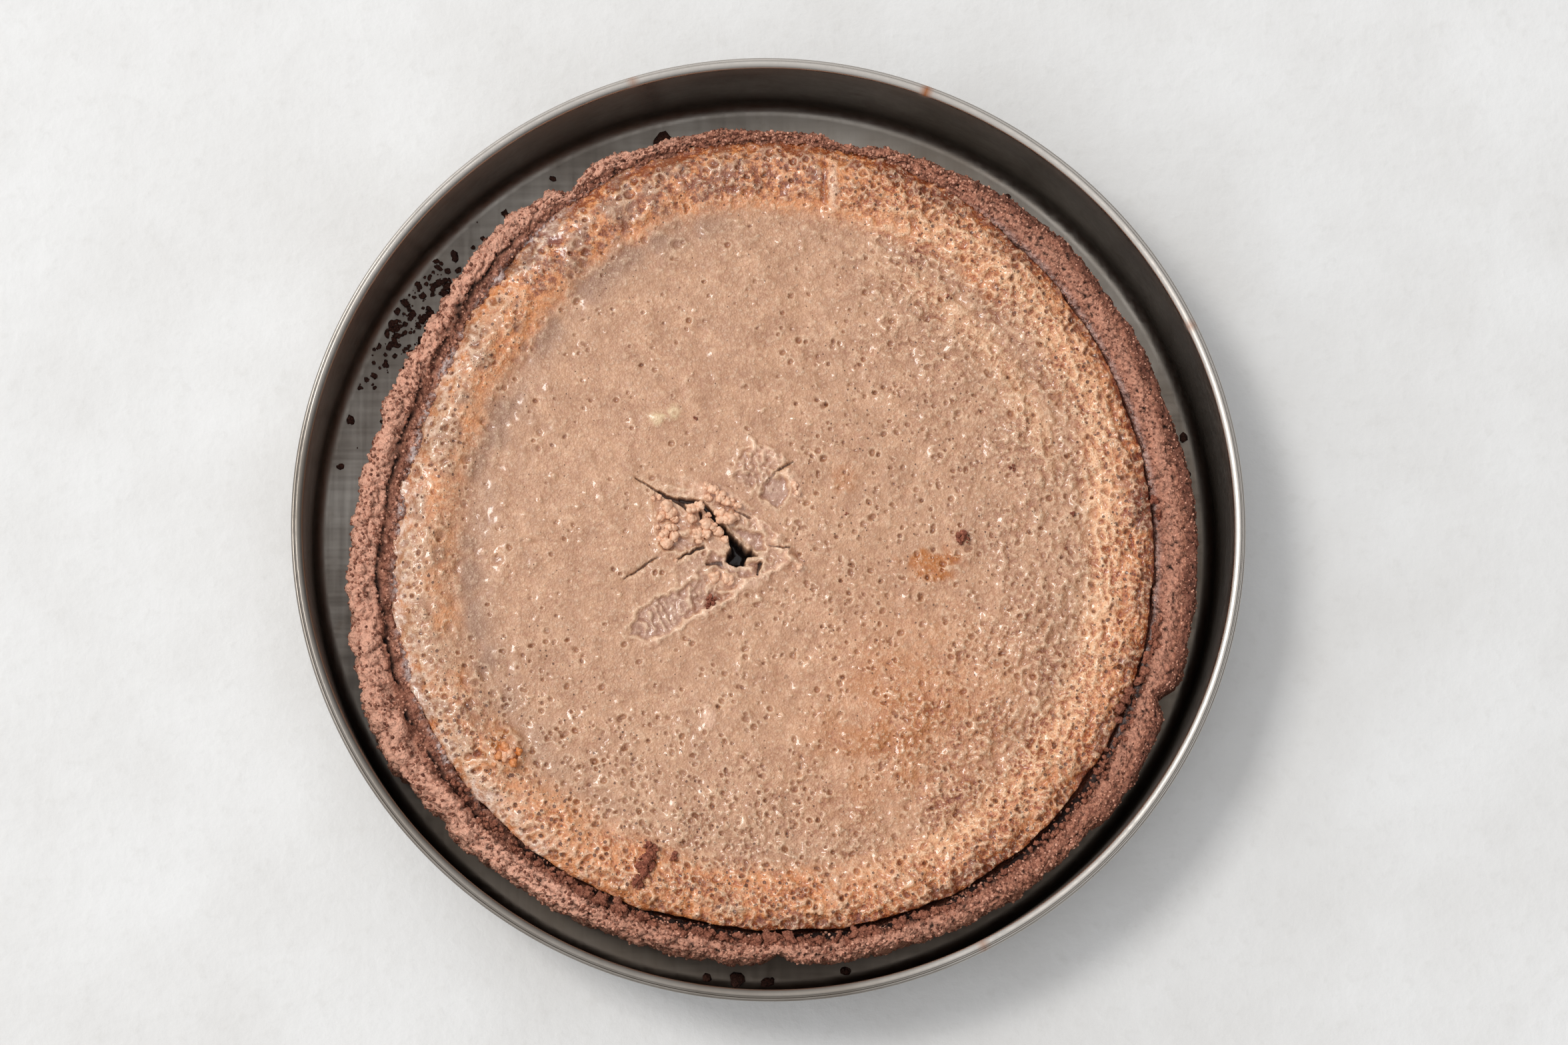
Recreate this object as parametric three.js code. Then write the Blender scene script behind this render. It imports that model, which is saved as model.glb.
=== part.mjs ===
// A chocolate pie in its own round baking tin.
// A straight-sided pressed tin holds a crumb crust, and the crust holds a baked chocolate
// filling that has puffed into a ring near its edge and was torn open at the middle.
// Millimetres, +Z up, origin at the middle of the tin's underside.
import * as THREE from "three";

// Tin
const rimRadius = 140;
const tinHeight = 42;
const sheet = 0.8;
const crownRadius = 1.25; // the round top of the rolled rim
const lipRadius = 0.7; // the curled edge outside the crown
const lipDrop = 1.9; // from the top of the rim to the middle of the lip
const crownInset = 0.9; // the crown's outside stands in from the lip's
const floorCorner = 4; // inside radius between floor and wall
const tinSegments = 76;

// Pie
const pieX = 2.2; // the pie sits a little off the middle of the tin
const pieY = -4.6;
const crustRadius = 125.3;
const fillingRadius = 115.2;
const crustUnderside = sheet + 0.3; // clear of the tin's floor
const crustBase = 6.5; // thickness of the crust under the filling
const crustTop = 31;
const crustFootTuck = 2.4; // the foot is this much narrower than the top
const footHeight = 3; // above the foot the crust's side leans out
const widestDrop = 7; // from the ridge down to the crust's widest place
const shoulderInset = 0.9; // the shoulder outside the ridge, in from the widest place
const shoulderDrop = 2.2;
const ridgePlace = 0.32; // in from the crust's edge, as a share of the crust's width
const innerShoulderPlace = 0.35; // out from the filling, as a share of the crust's width
const innerShoulderDrop = 0.7;
const contactStep = 0.4; // the crust's inner side stands this far out and up from the contact
const contactDrop = 1.2; // from the filling's edge down to where the two lie close together
const fillingGap = 0.3; // between the filling and the crust all round
const fillingTaper = 4; // the filling's underside is this much narrower than its top
const pieSegments = 144;

// Filling surface, as heights above the tin's underside
const fillingEdge = 29;
const puffTop = 31.4;
const creaseHeight = 28.9;
const middleHeight = 29.4;
const puffPlace = 0.93; // places and spreads are shares of the filling's radius
const puffSpread = 0.07;
const creasePlace = 0.83;
const creaseSpread = 0.06;
const edgeSpread = 0.02;
const edgeRoll = 1; // how far the very edge rolls down below the filling's edge height
const longSwell = 0.5; // five round the puffed ring
const shortSwell = 0.4; // seventeen round the puffed ring
const middleSwell = 0.35;

// Slow waves round the outlines: how many, how far in or out, and where the first peak is
const crustWaves = [
  { count: 2, size: 0.6, peak: 40 },
  { count: 3, size: 1.45, peak: -26 },
  { count: 4, size: 1.1, peak: 29 },
  { count: 5, size: 0.65, peak: -20 },
];
const fillingWaves = [
  { count: 1, size: 1.1, peak: 76 },
  { count: 2, size: 3.3, peak: 89 },
  { count: 3, size: 2, peak: -29 },
  { count: 4, size: 0.8, peak: 24 },
];

// Places where the crust's edge bulges out or is broken away, in degrees and millimetres
const crustMarks = [
  { at: 20, spread: 9, out: -0.9 },
  { at: 48, spread: 7, out: 1.2 },
  { at: 78, spread: 4, out: -2.2 },
  { at: 119.5, spread: 1.4, out: -4.2 },
  { at: 145, spread: 4, out: -1.5 },
  { at: 208, spread: 8, out: 1.8 },
  { at: 220, spread: 2, out: -1.4 },
  { at: 270, spread: 1.8, out: -3 },
  { at: 324, spread: 6, out: 1.2 },
  { at: 337, spread: 1.6, out: -4.8 },
];

// The tear in the middle, from the pie's centre: dents with a half length, a half width,
// a turn in degrees and a depth
const tearDents = [
  { x: -11, y: -1.4, long: 6.5, wide: 3.6, turn: 10, deep: 9 },
  { x: -26, y: 9, long: 16, wide: 3, turn: -36, deep: 2.2 },
  { x: -31, y: -6, long: 15, wide: 2.6, turn: 20, deep: 1.6 },
  { x: 1, y: 20, long: 7, wide: 6, turn: 60, deep: 1 },
];

const degree = Math.PI / 180;

// A bump of height one that fades out over its spread
function bump(distance, spread) {
  return Math.exp(-((distance / spread) ** 2));
}

// The shorter way round between two directions, in degrees
function turnBetween(a, b) {
  const turn = (((a - b) % 360) + 360) % 360;
  return Math.min(turn, 360 - turn);
}

function wavesAt(waves, angle) {
  let sum = 0;
  for (const wave of waves) {
    sum += wave.size * Math.cos(wave.count * (angle - wave.peak) * degree);
  }
  return sum;
}

function crustEdgeAt(angle) {
  let radius = crustRadius + wavesAt(crustWaves, angle);
  for (const mark of crustMarks) {
    radius += mark.out * bump(turnBetween(angle, mark.at), mark.spread);
  }
  return radius + 0.35 * Math.sin(19 * angle * degree) * Math.cos(7 * angle * degree);
}

function fillingEdgeAt(angle) {
  return fillingRadius + wavesAt(fillingWaves, angle);
}

// The crust's ridge is uneven: long swells and short lumps
function ridgeHeightAt(angle) {
  const turn = angle * degree;
  return crustTop + 0.5 * Math.cos(turn - 2.6) + 0.45 * Math.sin(9 * turn) * Math.cos(4 * turn)
    + 0.3 * Math.sin(23 * turn);
}

// Puffed ring, crease, flat middle and the tear, at a place measured from the pie's centre
function fillingHeightAt(x, y, share) {
  const angle = Math.atan2(y, x);
  const swells = longSwell * Math.sin(5 * angle) + shortSwell * Math.sin(17 * angle);
  const puffed = puffTop + swells;
  let height = middleHeight;
  height += (puffed - middleHeight) * bump(share - puffPlace, puffSpread);
  height -= (middleHeight - creaseHeight) * bump(share - creasePlace, creaseSpread);
  height -= (middleHeight - fillingEdge + edgeRoll) * bump(share - 1, edgeSpread);
  height += middleSwell * Math.sin(x / 13 + 1) * Math.cos(y / 17) * (1 - share);
  for (const dent of tearDents) {
    const cosine = Math.cos(dent.turn * degree);
    const sine = Math.sin(dent.turn * degree);
    const along = cosine * (x - dent.x) + sine * (y - dent.y);
    const across = cosine * (y - dent.y) - sine * (x - dent.x);
    height -= dent.deep * bump(along, dent.long) * bump(across, dent.wide);
  }
  return height;
}

// An arc of a profile, from one angle to another in degrees
function arc(centreX, centreY, radius, from, to, steps) {
  const points = [];
  for (let i = 0; i <= steps; i += 1) {
    const angle = (from + ((to - from) * i) / steps) * degree;
    points.push(
      new THREE.Vector2(centreX + radius * Math.cos(angle), centreY + radius * Math.sin(angle)),
    );
  }
  return points;
}

// One closed solid through rings of points, from a lowest middle point outward, up and over
// to a last middle point. A ring is a function of the angle in degrees.
function solidOfRings(first, rings, last, segments) {
  const positions = [...first];
  for (const ring of rings) {
    for (let i = 0; i < segments; i += 1) {
      positions.push(...ring((360 * i) / segments));
    }
  }
  positions.push(...last);
  const indices = [];
  const lastPoint = 1 + rings.length * segments;
  for (let i = 0; i < segments; i += 1) {
    const next = (i + 1) % segments;
    indices.push(0, 1 + next, 1 + i);
    for (let ring = 0; ring < rings.length - 1; ring += 1) {
      const low = 1 + ring * segments;
      const high = low + segments;
      indices.push(low + i, low + next, high + next);
      indices.push(low + i, high + next, high + i);
    }
    const top = lastPoint - segments;
    indices.push(top + i, top + next, lastPoint);
  }
  const geometry = new THREE.BufferGeometry();
  geometry.setAttribute("position", new THREE.Float32BufferAttribute(positions, 3));
  geometry.setIndex(indices);
  geometry.computeVertexNormals();
  return geometry;
}

function ringPoint(angle, radius, height) {
  return [radius * Math.cos(angle * degree), radius * Math.sin(angle * degree), height];
}

function makeTin() {
  const crownX = rimRadius - crownInset - crownRadius;
  const wallInside = crownX - crownRadius;
  const wallOutside = wallInside + sheet;
  const cornerX = wallInside - floorCorner;
  const cornerY = sheet + floorCorner;
  const profile = [
    new THREE.Vector2(0, 0),
    ...arc(cornerX, cornerY, cornerY, -90, 0, 4),
    new THREE.Vector2(wallOutside, tinHeight - lipDrop - lipRadius),
    ...arc(rimRadius - lipRadius, tinHeight - lipDrop, lipRadius, -90, 110, 4),
    ...arc(crownX, tinHeight - crownRadius, crownRadius, 0, 180, 6),
    ...arc(cornerX, cornerY, floorCorner, 0, -90, 4),
    new THREE.Vector2(0, sheet),
  ];
  const geometry = new THREE.LatheGeometry(profile, tinSegments);
  geometry.rotateX(Math.PI / 2);
  const steel = new THREE.MeshStandardMaterial({ color: 0x8f8a82, roughness: 0.42, metalness: 0.9 });
  const tin = new THREE.Mesh(geometry, steel);
  tin.name = "tin";
  return tin;
}

function makeCrust() {
  const baseTop = crustUnderside + crustBase;
  const widthAt = (angle) => crustEdgeAt(angle) - fillingEdgeAt(angle);
  const lipAt = (angle) => fillingEdgeAt(angle) + fillingGap;
  const innerShoulderAt = (angle) => lipAt(angle) + innerShoulderPlace * widthAt(angle);
  const rings = [
    (angle) => ringPoint(angle, crustEdgeAt(angle) - crustFootTuck, crustUnderside),
    (angle) => ringPoint(angle, crustEdgeAt(angle) - 0.5 * crustFootTuck, crustUnderside + footHeight),
    (angle) => ringPoint(angle, crustEdgeAt(angle), crustTop - widestDrop),
    (angle) => ringPoint(angle, crustEdgeAt(angle) - shoulderInset, ridgeHeightAt(angle) - shoulderDrop),
    (angle) => ringPoint(angle, crustEdgeAt(angle) - ridgePlace * widthAt(angle), ridgeHeightAt(angle)),
    (angle) => ringPoint(angle, innerShoulderAt(angle), ridgeHeightAt(angle) - innerShoulderDrop),
    (angle) => ringPoint(angle, lipAt(angle) + contactStep, fillingEdge + contactStep),
    (angle) => ringPoint(angle, lipAt(angle), fillingEdge - contactDrop),
    (angle) => ringPoint(angle, lipAt(angle) - fillingTaper, baseTop),
  ];
  const geometry = solidOfRings([0, 0, crustUnderside], rings, [0, 0, baseTop], pieSegments);
  const crumb = new THREE.MeshStandardMaterial({ color: 0x5b3f36, roughness: 0.95, metalness: 0 });
  const crust = new THREE.Mesh(geometry, crumb);
  crust.name = "crust";
  return crust;
}

function makeFilling() {
  const underside = crustUnderside + crustBase + fillingGap;
  const shares = [0.98, 0.94, 0.9, 0.86, 0.82, 0.76, 0.5, 0.27, 0.16, 0.1, 0.05];
  const surfaceRing = (share) => (angle) => {
    const [x, y] = ringPoint(angle, share * fillingEdgeAt(angle), 0);
    return [x, y, fillingHeightAt(x, y, share)];
  };
  const rings = [
    (angle) => ringPoint(angle, fillingEdgeAt(angle) - fillingTaper, underside),
    (angle) => ringPoint(angle, fillingEdgeAt(angle), fillingEdge - contactDrop),
    ...shares.map(surfaceRing),
  ];
  const middle = [0, 0, fillingHeightAt(0, 0, 0)];
  const geometry = solidOfRings([0, 0, underside], rings, middle, pieSegments);
  const custard = new THREE.MeshStandardMaterial({ color: 0xa0735a, roughness: 0.5, metalness: 0 });
  const filling = new THREE.Mesh(geometry, custard);
  filling.name = "filling";
  return filling;
}

const pie = new THREE.Group();
pie.position.set(pieX, pieY, 0);
pie.add(makeCrust(), makeFilling());

const part = new THREE.Group();
part.add(makeTin(), pie);

export default part;
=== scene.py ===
# Looks for the chocolate pie in its tin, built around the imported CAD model.
import math
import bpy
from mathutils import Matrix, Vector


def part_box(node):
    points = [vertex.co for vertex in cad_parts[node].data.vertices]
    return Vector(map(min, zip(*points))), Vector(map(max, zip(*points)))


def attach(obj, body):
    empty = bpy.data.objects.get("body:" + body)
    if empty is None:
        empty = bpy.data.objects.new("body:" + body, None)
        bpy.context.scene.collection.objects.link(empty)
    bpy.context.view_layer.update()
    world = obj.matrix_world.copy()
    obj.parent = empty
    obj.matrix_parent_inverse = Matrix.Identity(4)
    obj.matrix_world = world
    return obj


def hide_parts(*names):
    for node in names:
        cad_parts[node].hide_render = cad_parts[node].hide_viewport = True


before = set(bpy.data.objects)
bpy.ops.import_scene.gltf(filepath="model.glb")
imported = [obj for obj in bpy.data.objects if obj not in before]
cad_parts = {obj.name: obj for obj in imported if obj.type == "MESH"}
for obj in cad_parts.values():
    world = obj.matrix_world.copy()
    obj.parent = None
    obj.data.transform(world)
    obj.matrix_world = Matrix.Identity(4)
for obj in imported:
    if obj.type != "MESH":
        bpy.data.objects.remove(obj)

from types import SimpleNamespace

import bmesh
import bpy
import numpy as np
from mathutils import Matrix, Vector

# Shapes are worked out in millimetres and written to meshes in metres. Directions, in the tables and
# for sector(), are in degrees: 0 is right in the photograph, 90 is up. An array called angle holds
# radians.
MM = 0.001
TURN = 2 * math.pi

# Camera: how far its view leans from straight down and which way, in degrees, its distance and aim
# in metres, its lens and sensor in millimetres
VIEW_TILT = 9.25
VIEW_TURN = 14.8
VIEW_DISTANCE = 1.0949
VIEW_AIM = (0.0038, -0.0009)
LENS = 85.9
SENSOR = 36.0

# Light, in metres and watts: a soft room that is brightest on one side, and its window
ROOM_BRIGHT_SIDE = (-0.66, 0.15, 0.74)
ROOM_BRIGHT = 1.08
ROOM_DIM = 0.2
ROOM_FADE = (-0.3, 0.95)
WINDOW_PLACE = (-1.3, 0.6, 2.4)
WINDOW_SIZE = 0.7
WINDOW_POWER = 29

# Floor, in metres
FLOOR_HALF = 6.0

# Tin: points round it, rings of its floor, its rim's rolled crown, the lip curled outside it, the
# thickness of the sheet and the radius of the floor's corner
TIN_COLUMNS = 360
TIN_FLOOR_RINGS = 12
CROWN = 1.25
CROWN_INSET = 0.9
CROWN_OUTER = 0.75
LIP = 0.7
LIP_DROP = 1.9
SHEET = 0.8
CORNER = 4.0

# Crust: points round it and about how far apart, directions its outline is read in, how far its
# foot is tucked in, heights of its bulge, inner lip, inside and lowest groove, and its grains
CRUST_COLUMNS = 1740
CRUST_CELL = 0.45
DIRECTIONS = 144
FOOT_TUCK = 2.4
BULGE_LEVEL = 16.0
LIP_LEVEL = 27.4
INSIDE_LEVEL = 24.0
GROOVE_LEVEL = 25.0
GRAIN_COUNT = 8600

# Filling: cell and half width of its height grid, rings of its mesh and triangles left in it, how
# high above its underside its top begins, how far its side leans in, how far out the tear may
# spoil the CAD's heights, the grid's window round the tear and the puffed ring's radius
CELL = 0.2
HALF_SPAN = 124.0
FILLING_RINGS = 400
FILLING_TRIANGLES = 198000
EDGE_DEPTH = 6.0
SKIRT_TUCK = 4.0
TEAR_SHARE = 0.3
TEAR_ROWS = (-45, 45)
TEAR_COLUMNS = (-60, 25)
RING_RADIUS = 105.0

# Loose pieces: how many there are, and heights that they lie at
TORN_LEVEL = 29.0
KNOBS = 5
CREVICE_CRUMBS = 420
CREVICE_LEVEL = 27.6
FALLEN_LEVEL = 29.6
BURNT_COUNT = 190

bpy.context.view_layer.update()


# ---------------------------------------------------------------- reading the frame

def points_of(node):
    """A CAD node's vertices, in millimetres."""
    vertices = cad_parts[node].data.vertices
    flat = np.empty(len(vertices) * 3, np.float32)
    vertices.foreach_get("co", flat)
    return flat.reshape(-1, 3).astype(float) / MM


def pie_centre():
    """The middle vertex of the crust's underside."""
    points = points_of("crust")
    underside = points[points[:, 2] < points[:, 2].min() + 0.01, :2]
    nearest = np.hypot(*(underside - underside.mean(0)).T).argmin()
    return underside[nearest]


def outline_of(node, centre):
    """The farthest radius of a CAD node in each direction round the centre."""
    offset = points_of(node)[:, :2] - centre
    direction = np.arctan2(offset[:, 1], offset[:, 0]) / TURN * DIRECTIONS
    index = np.round(direction).astype(int) % DIRECTIONS
    radii = np.zeros(DIRECTIONS)
    np.maximum.at(radii, index, np.hypot(offset[:, 0], offset[:, 1]))
    return radii


CENTRE = pie_centre()
CRUST_OUTLINE = outline_of("crust", CENTRE)
FILLING_OUTLINE = outline_of("filling", CENTRE)


def radius_at(outline, angle):
    """The radius of an outline in the directions of these angles."""
    return np.interp(angle, np.arange(DIRECTIONS) / DIRECTIONS * TURN, outline, period=TURN)


def ring_heights():
    """The filling's mean height against its share of the radius, read from the CAD node."""
    points = points_of("filling")
    offset = points[:, :2] - CENTRE
    angle = np.arctan2(offset[:, 1], offset[:, 0])
    share = np.hypot(offset[:, 0], offset[:, 1]) / radius_at(FILLING_OUTLINE, angle)
    top = points[:, 2] > points[:, 2].min() + EDGE_DEPTH
    ring = np.round(share[top], 2)
    places = np.unique(ring)
    outside_tear = places > TEAR_SHARE
    means = np.array([points[top, 2][ring == place].mean() for place in places[outside_tear]])
    return np.r_[0.0, places[outside_tear]], np.r_[means[0], means]


# ---------------------------------------------------------------- number tools

def smooth_step(value, low, high):
    """Nothing below low, one above high, and a smooth ramp between them."""
    t = np.clip((value - low) / (high - low), 0, 1)
    return t * t * (3 - 2 * t)


def bump(distance, spread):
    """One at no distance, falling smoothly away over the spread."""
    return np.exp(-((distance / spread) ** 2))


def sector(angle, middle, half, soft):
    """One within half degrees of a direction, fading to nothing over soft degrees more."""
    away = np.abs((np.degrees(angle) - middle + 180) % 360 - 180)
    return 1 - smooth_step(away, half, half + soft)


def smoother(shape, row_size, column_size):
    """Weights for a grid's waves that leave hills of about these sizes, in cells."""
    slow = np.fft.fftfreq(shape[0])[:, None] * row_size / 3
    fast = np.fft.rfftfreq(shape[1])[None, :] * column_size / 3
    return np.exp(-2 * math.pi**2 * (slow**2 + fast**2))


def noise(random, shape, row_size, column_size):
    """Smooth random hills that repeat at the edges, with a spread of one. Sizes are in cells."""
    white = np.fft.rfft2(random.standard_normal(shape))
    hills = np.fft.irfft2(white * smoother(shape, row_size, column_size), shape)
    return hills / hills.std()


def blurred(grid, size):
    """The grid with hills narrower than size cells smoothed away."""
    return np.fft.irfft2(np.fft.rfft2(grid) * smoother(grid.shape, size, size), grid.shape)


def sample(grid, row, column):
    """Reads a grid between its cells. Rows wrap round."""
    row_low = np.floor(row).astype(int)
    column_low = np.clip(np.floor(column).astype(int), 0, grid.shape[1] - 2)
    down = row - row_low
    along = np.clip(column - column_low, 0, 1)
    low = row_low % grid.shape[0]
    high = (row_low + 1) % grid.shape[0]
    start = grid[low, column_low] * (1 - along) + grid[low, column_low + 1] * along
    end = grid[high, column_low] * (1 - along) + grid[high, column_low + 1] * along
    return start * (1 - down) + end * down


def blend_rows(values, passes):
    """Rounds the corners of rows of numbers, keeping the first and last rows."""
    for _ in range(passes):
        values[1:-1] = (values[:-2] + 2 * values[1:-1] + values[2:]) / 4
    return values


def around_pie(radius, angle, z):
    """Places at a radius and an angle from the pie's centre."""
    return np.c_[CENTRE[0] + radius * np.cos(angle), CENTRE[1] + radius * np.sin(angle), z]


# ---------------------------------------------------------------- mesh tools

def make_piece(name, points, triangles, material, replaces=None):
    """A smooth mesh piece from arrays in millimetres, riding on the one body."""
    mesh = bpy.data.meshes.new(name)
    mesh.vertices.add(len(points))
    mesh.vertices.foreach_set("co", (points * MM).astype(np.float32).ravel())
    mesh.loops.add(triangles.size)
    mesh.loops.foreach_set("vertex_index", triangles.astype(np.int32).ravel())
    mesh.polygons.add(len(triangles))
    mesh.polygons.foreach_set("loop_start", np.arange(0, triangles.size, 3, dtype=np.int32))
    mesh.polygons.foreach_set("use_smooth", np.ones(len(triangles), bool))
    mesh.update(calc_edges=True)
    mesh.validate()
    piece = bpy.data.objects.new(name, mesh)
    bpy.context.scene.collection.objects.link(piece)
    mesh.materials.append(material)
    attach(piece, "root")
    if replaces:
        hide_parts(replaces)
    return piece


def paint(piece, name, values):
    """Writes one number for each vertex, which the piece's material reads by name."""
    layer = piece.data.attributes.new(name, "FLOAT", "POINT")
    layer.data.foreach_set("value", values.astype(np.float32))


def skin_triangles(rows, columns):
    """Triangles of rows of points that go round, with a hub point before and after them."""
    index = 1 + np.arange(rows * columns).reshape(rows, columns)
    after = np.roll(index, -1, axis=1)
    low, low_next = index[:-1].ravel(), after[:-1].ravel()
    high, high_next = index[1:].ravel(), after[1:].ravel()
    hub = np.zeros(columns, int)
    return np.concatenate([
        np.c_[low, low_next, high_next],
        np.c_[low, high_next, high],
        np.c_[hub, after[0], index[0]],
        np.c_[index[-1], after[-1], hub + rows * columns + 1],
    ])


def rows_to_points(radius, height, angle, centre, first, last):
    """Points of rows of radii and heights at the given angles, between two hub points."""
    x = centre[0] + radius * np.cos(angle)
    y = centre[1] + radius * np.sin(angle)
    points = np.stack([x, y, np.broadcast_to(height, x.shape)], -1).reshape(-1, 3)
    return np.vstack([[[*centre, first]], points, [[*centre, last]]])


def icosphere(subdivisions):
    """Unit sphere points and triangles."""
    mesh = bpy.data.meshes.new("ball")
    ball = bmesh.new()
    bmesh.ops.create_icosphere(ball, subdivisions=subdivisions, radius=1.0)
    ball.to_mesh(mesh)
    ball.free()
    points = np.array([v.co[:] for v in mesh.vertices])
    triangles = np.array([p.vertices[:] for p in mesh.polygons])
    bpy.data.meshes.remove(mesh)
    return points, triangles


def turns(random, count):
    """Random rotations, one 3 by 3 matrix each."""
    q = random.standard_normal((count, 4))
    w, x, y, z = (q / np.linalg.norm(q, axis=1, keepdims=True)).T
    return np.stack([
        np.stack([1 - 2 * (y * y + z * z), 2 * (x * y - z * w), 2 * (x * z + y * w)], -1),
        np.stack([2 * (x * y + z * w), 1 - 2 * (x * x + z * z), 2 * (y * z - x * w)], -1),
        np.stack([2 * (x * z - y * w), 2 * (y * z + x * w), 1 - 2 * (x * x + y * y)], -1),
    ], 1)


def lumps(random, places, sizes, subdivisions, rough, flat=1.0):
    """Irregular lumps joined into one set of points and triangles.
    Sizes are half widths; rough is how uneven each is; flat squeezes them in height."""
    ball, faces = icosphere(subdivisions)
    count = len(places)
    waves = random.standard_normal((count, 5, 3)) * 2.6
    shifts = random.uniform(0, TURN, (count, 5))
    ripples = np.sin(np.einsum("cwk,vk->cvw", waves, ball) + shifts[:, None, :])
    grain = random.standard_normal((count, len(ball)))
    swell = 1 + rough * ripples.mean(2) * 1.6 + rough * 0.35 * grain
    stretch = random.uniform(0.75, 1.25, (count, 1, 3))
    shaped = ball[None] * swell[..., None] * stretch
    turned = np.einsum("cij,cvj->cvi", turns(random, count), shaped)
    turned[..., 2] *= flat
    points = places[:, None, :] + turned * sizes[:, None, None]
    triangles = faces[None] + (np.arange(count) * len(ball))[:, None, None]
    return points.reshape(-1, 3), triangles.reshape(-1, 3)


# ---------------------------------------------------------------- material tools

def srgb(red, green, blue):
    """A linear colour with alpha from everyday 0 to 255 values."""
    scaled = [value / 255 for value in (red, green, blue)]
    linear = [v / 12.92 if v <= 0.04045 else ((v + 0.055) / 1.055) ** 2.4 for v in scaled]
    return (*linear, 1.0)


class Paint:
    """Builds a node material round its Principled shader, with colours laid over one another."""

    def __init__(self, name, colour):
        self.material = bpy.data.materials.new(name)
        self.material.use_nodes = True
        self.tree = self.material.node_tree
        self.shader = self.tree.nodes["Principled BSDF"]
        self.place = self.add("ShaderNodeTexCoord").outputs["Object"]
        self.colour = srgb(*colour)

    def add(self, kind, settings=None, inputs=None):
        """A new node with these settings and inputs."""
        made = self.tree.nodes.new(kind)
        for key, value in (settings or {}).items():
            setattr(made, key, value)
        for key, value in (inputs or {}).items():
            self.join(value, made.inputs[key])
        return made

    def join(self, value, socket):
        """Links a socket to another, or sets a plain number or colour on it."""
        if isinstance(value, bpy.types.NodeSocket):
            self.tree.links.new(value, socket)
        else:
            socket.default_value = value

    def mask(self, name):
        """Numbers that were painted on the piece under this name."""
        return self.add("ShaderNodeAttribute", {"attribute_name": name}).outputs["Fac"]

    def noise(self, size, detail, rough, stretch=(1, 1, 1), shift=0.0):
        """Noise whose hills are about size millimetres wide."""
        where = self.add("ShaderNodeMapping", None, {
            "Vector": self.place, "Location": (shift, shift, shift), "Scale": stretch,
        }).outputs["Vector"]
        return self.add("ShaderNodeTexNoise", None, {
            "Vector": where, "Scale": 1 / (size * MM), "Detail": detail, "Roughness": rough,
        }).outputs["Fac"]

    def cells(self, size):
        """Distance to the middle of the nearest cell of this size."""
        return self.add("ShaderNodeTexVoronoi", None, {
            "Vector": self.place, "Scale": 1 / (size * MM),
        }).outputs["Distance"]

    def pinholes(self, size, reach, amount):
        """Round holes where the middles of cells of this size lie near the surface."""
        room = self.math("SUBTRACT", self.times(amount, reach), self.cells(size))
        return self.spread(room, 0.0, 0.05)

    def math(self, operation, a, b):
        made = self.add("ShaderNodeMath", {"operation": operation})
        self.join(a, made.inputs[0])
        self.join(b, made.inputs[1])
        return made.outputs[0]

    def times(self, a, b):
        return self.math("MULTIPLY", a, b)

    def plus(self, a, b):
        return self.math("ADD", a, b)

    def spread(self, value, low, high, to_low=0.0, to_high=1.0):
        """Stretches low to high onto another range, and stops at its ends."""
        return self.add("ShaderNodeMapRange", None, {
            "Value": value, "From Min": low, "From Max": high, "To Min": to_low, "To Max": to_high,
        }).outputs["Result"]

    def lay(self, share, tint, blend="MIX"):
        """Lays a colour over the ones before it. The share may be the name of a mask."""
        made = self.add("ShaderNodeMix", {"data_type": "RGBA", "blend_type": blend})
        self.join(self.mask(share) if isinstance(share, str) else share, made.inputs[0])
        self.join(self.colour, made.inputs[6])
        self.join(srgb(*tint), made.inputs[7])
        self.colour = made.outputs[2]

    def relief(self, height, depth, normal=None):
        """A bump whose full height is depth millimetres."""
        inputs = {"Height": height, "Distance": depth * MM, "Strength": 1.0}
        if normal is not None:
            inputs["Normal"] = normal
        return self.add("ShaderNodeBump", None, inputs).outputs["Normal"]

    def finish(self, **values):
        """Joins the colour and these values to the shader, and gives the material."""
        self.join(self.colour, self.shader.inputs["Base Color"])
        for key, value in values.items():
            self.join(value, self.shader.inputs[key.replace("_", " ")])
        return self.material


# ---------------------------------------------------------------- materials

def steel_material():
    """Dull steel of an old baking tin: brushed marks, a dull brown layer that also carries painted
    shade, drips, and a rubbed rim held back on one side as painted shade.
    """
    look = Paint("aged_steel", (182, 177, 170))
    blotch = look.noise(38, 4, 0.6)
    film_and_shade = look.noise(9, 5, 0.65, shift=2.0)
    scratches = look.plus(look.noise(1.6, 2, 0.5, stretch=(1, 0.04, 1)),
                          look.noise(1.6, 2, 0.5, stretch=(0.05, 1, 1), shift=5.0))
    rim_wear_and_shade = look.mask("rim_wear_and_shade")
    stain_and_shade = look.mask("stain_and_shade")
    look.lay(look.spread(blotch, 0.35, 0.7), (140, 132, 123))
    look.lay(look.spread(film_and_shade, 0.58, 0.8, 0.0, 0.45), (116, 92, 72))
    # A lighter rubbed rim, held back on the lower-left as painted shade.
    look.lay(rim_wear_and_shade, (190, 183, 175))
    # Painted shade: the brown layer darkens the steel low down, most towards the front-right, and high
    # on the lower-left side.
    look.lay("film_and_shade", (104, 94, 84))
    look.lay(stain_and_shade, (150, 88, 40))
    rough = look.spread(blotch, 0.3, 0.75, 0.34, 0.5)
    rough = look.plus(rough, look.spread(scratches, 0.8, 1.3, -0.05, 0.08))
    rough = look.plus(rough, look.times(rim_wear_and_shade, -0.12))
    metal = look.spread(stain_and_shade, 0.0, 1.0, 1.0, 0.1)
    return look.finish(Roughness=rough, Metallic=metal, Normal=look.relief(scratches, 0.02))


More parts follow.
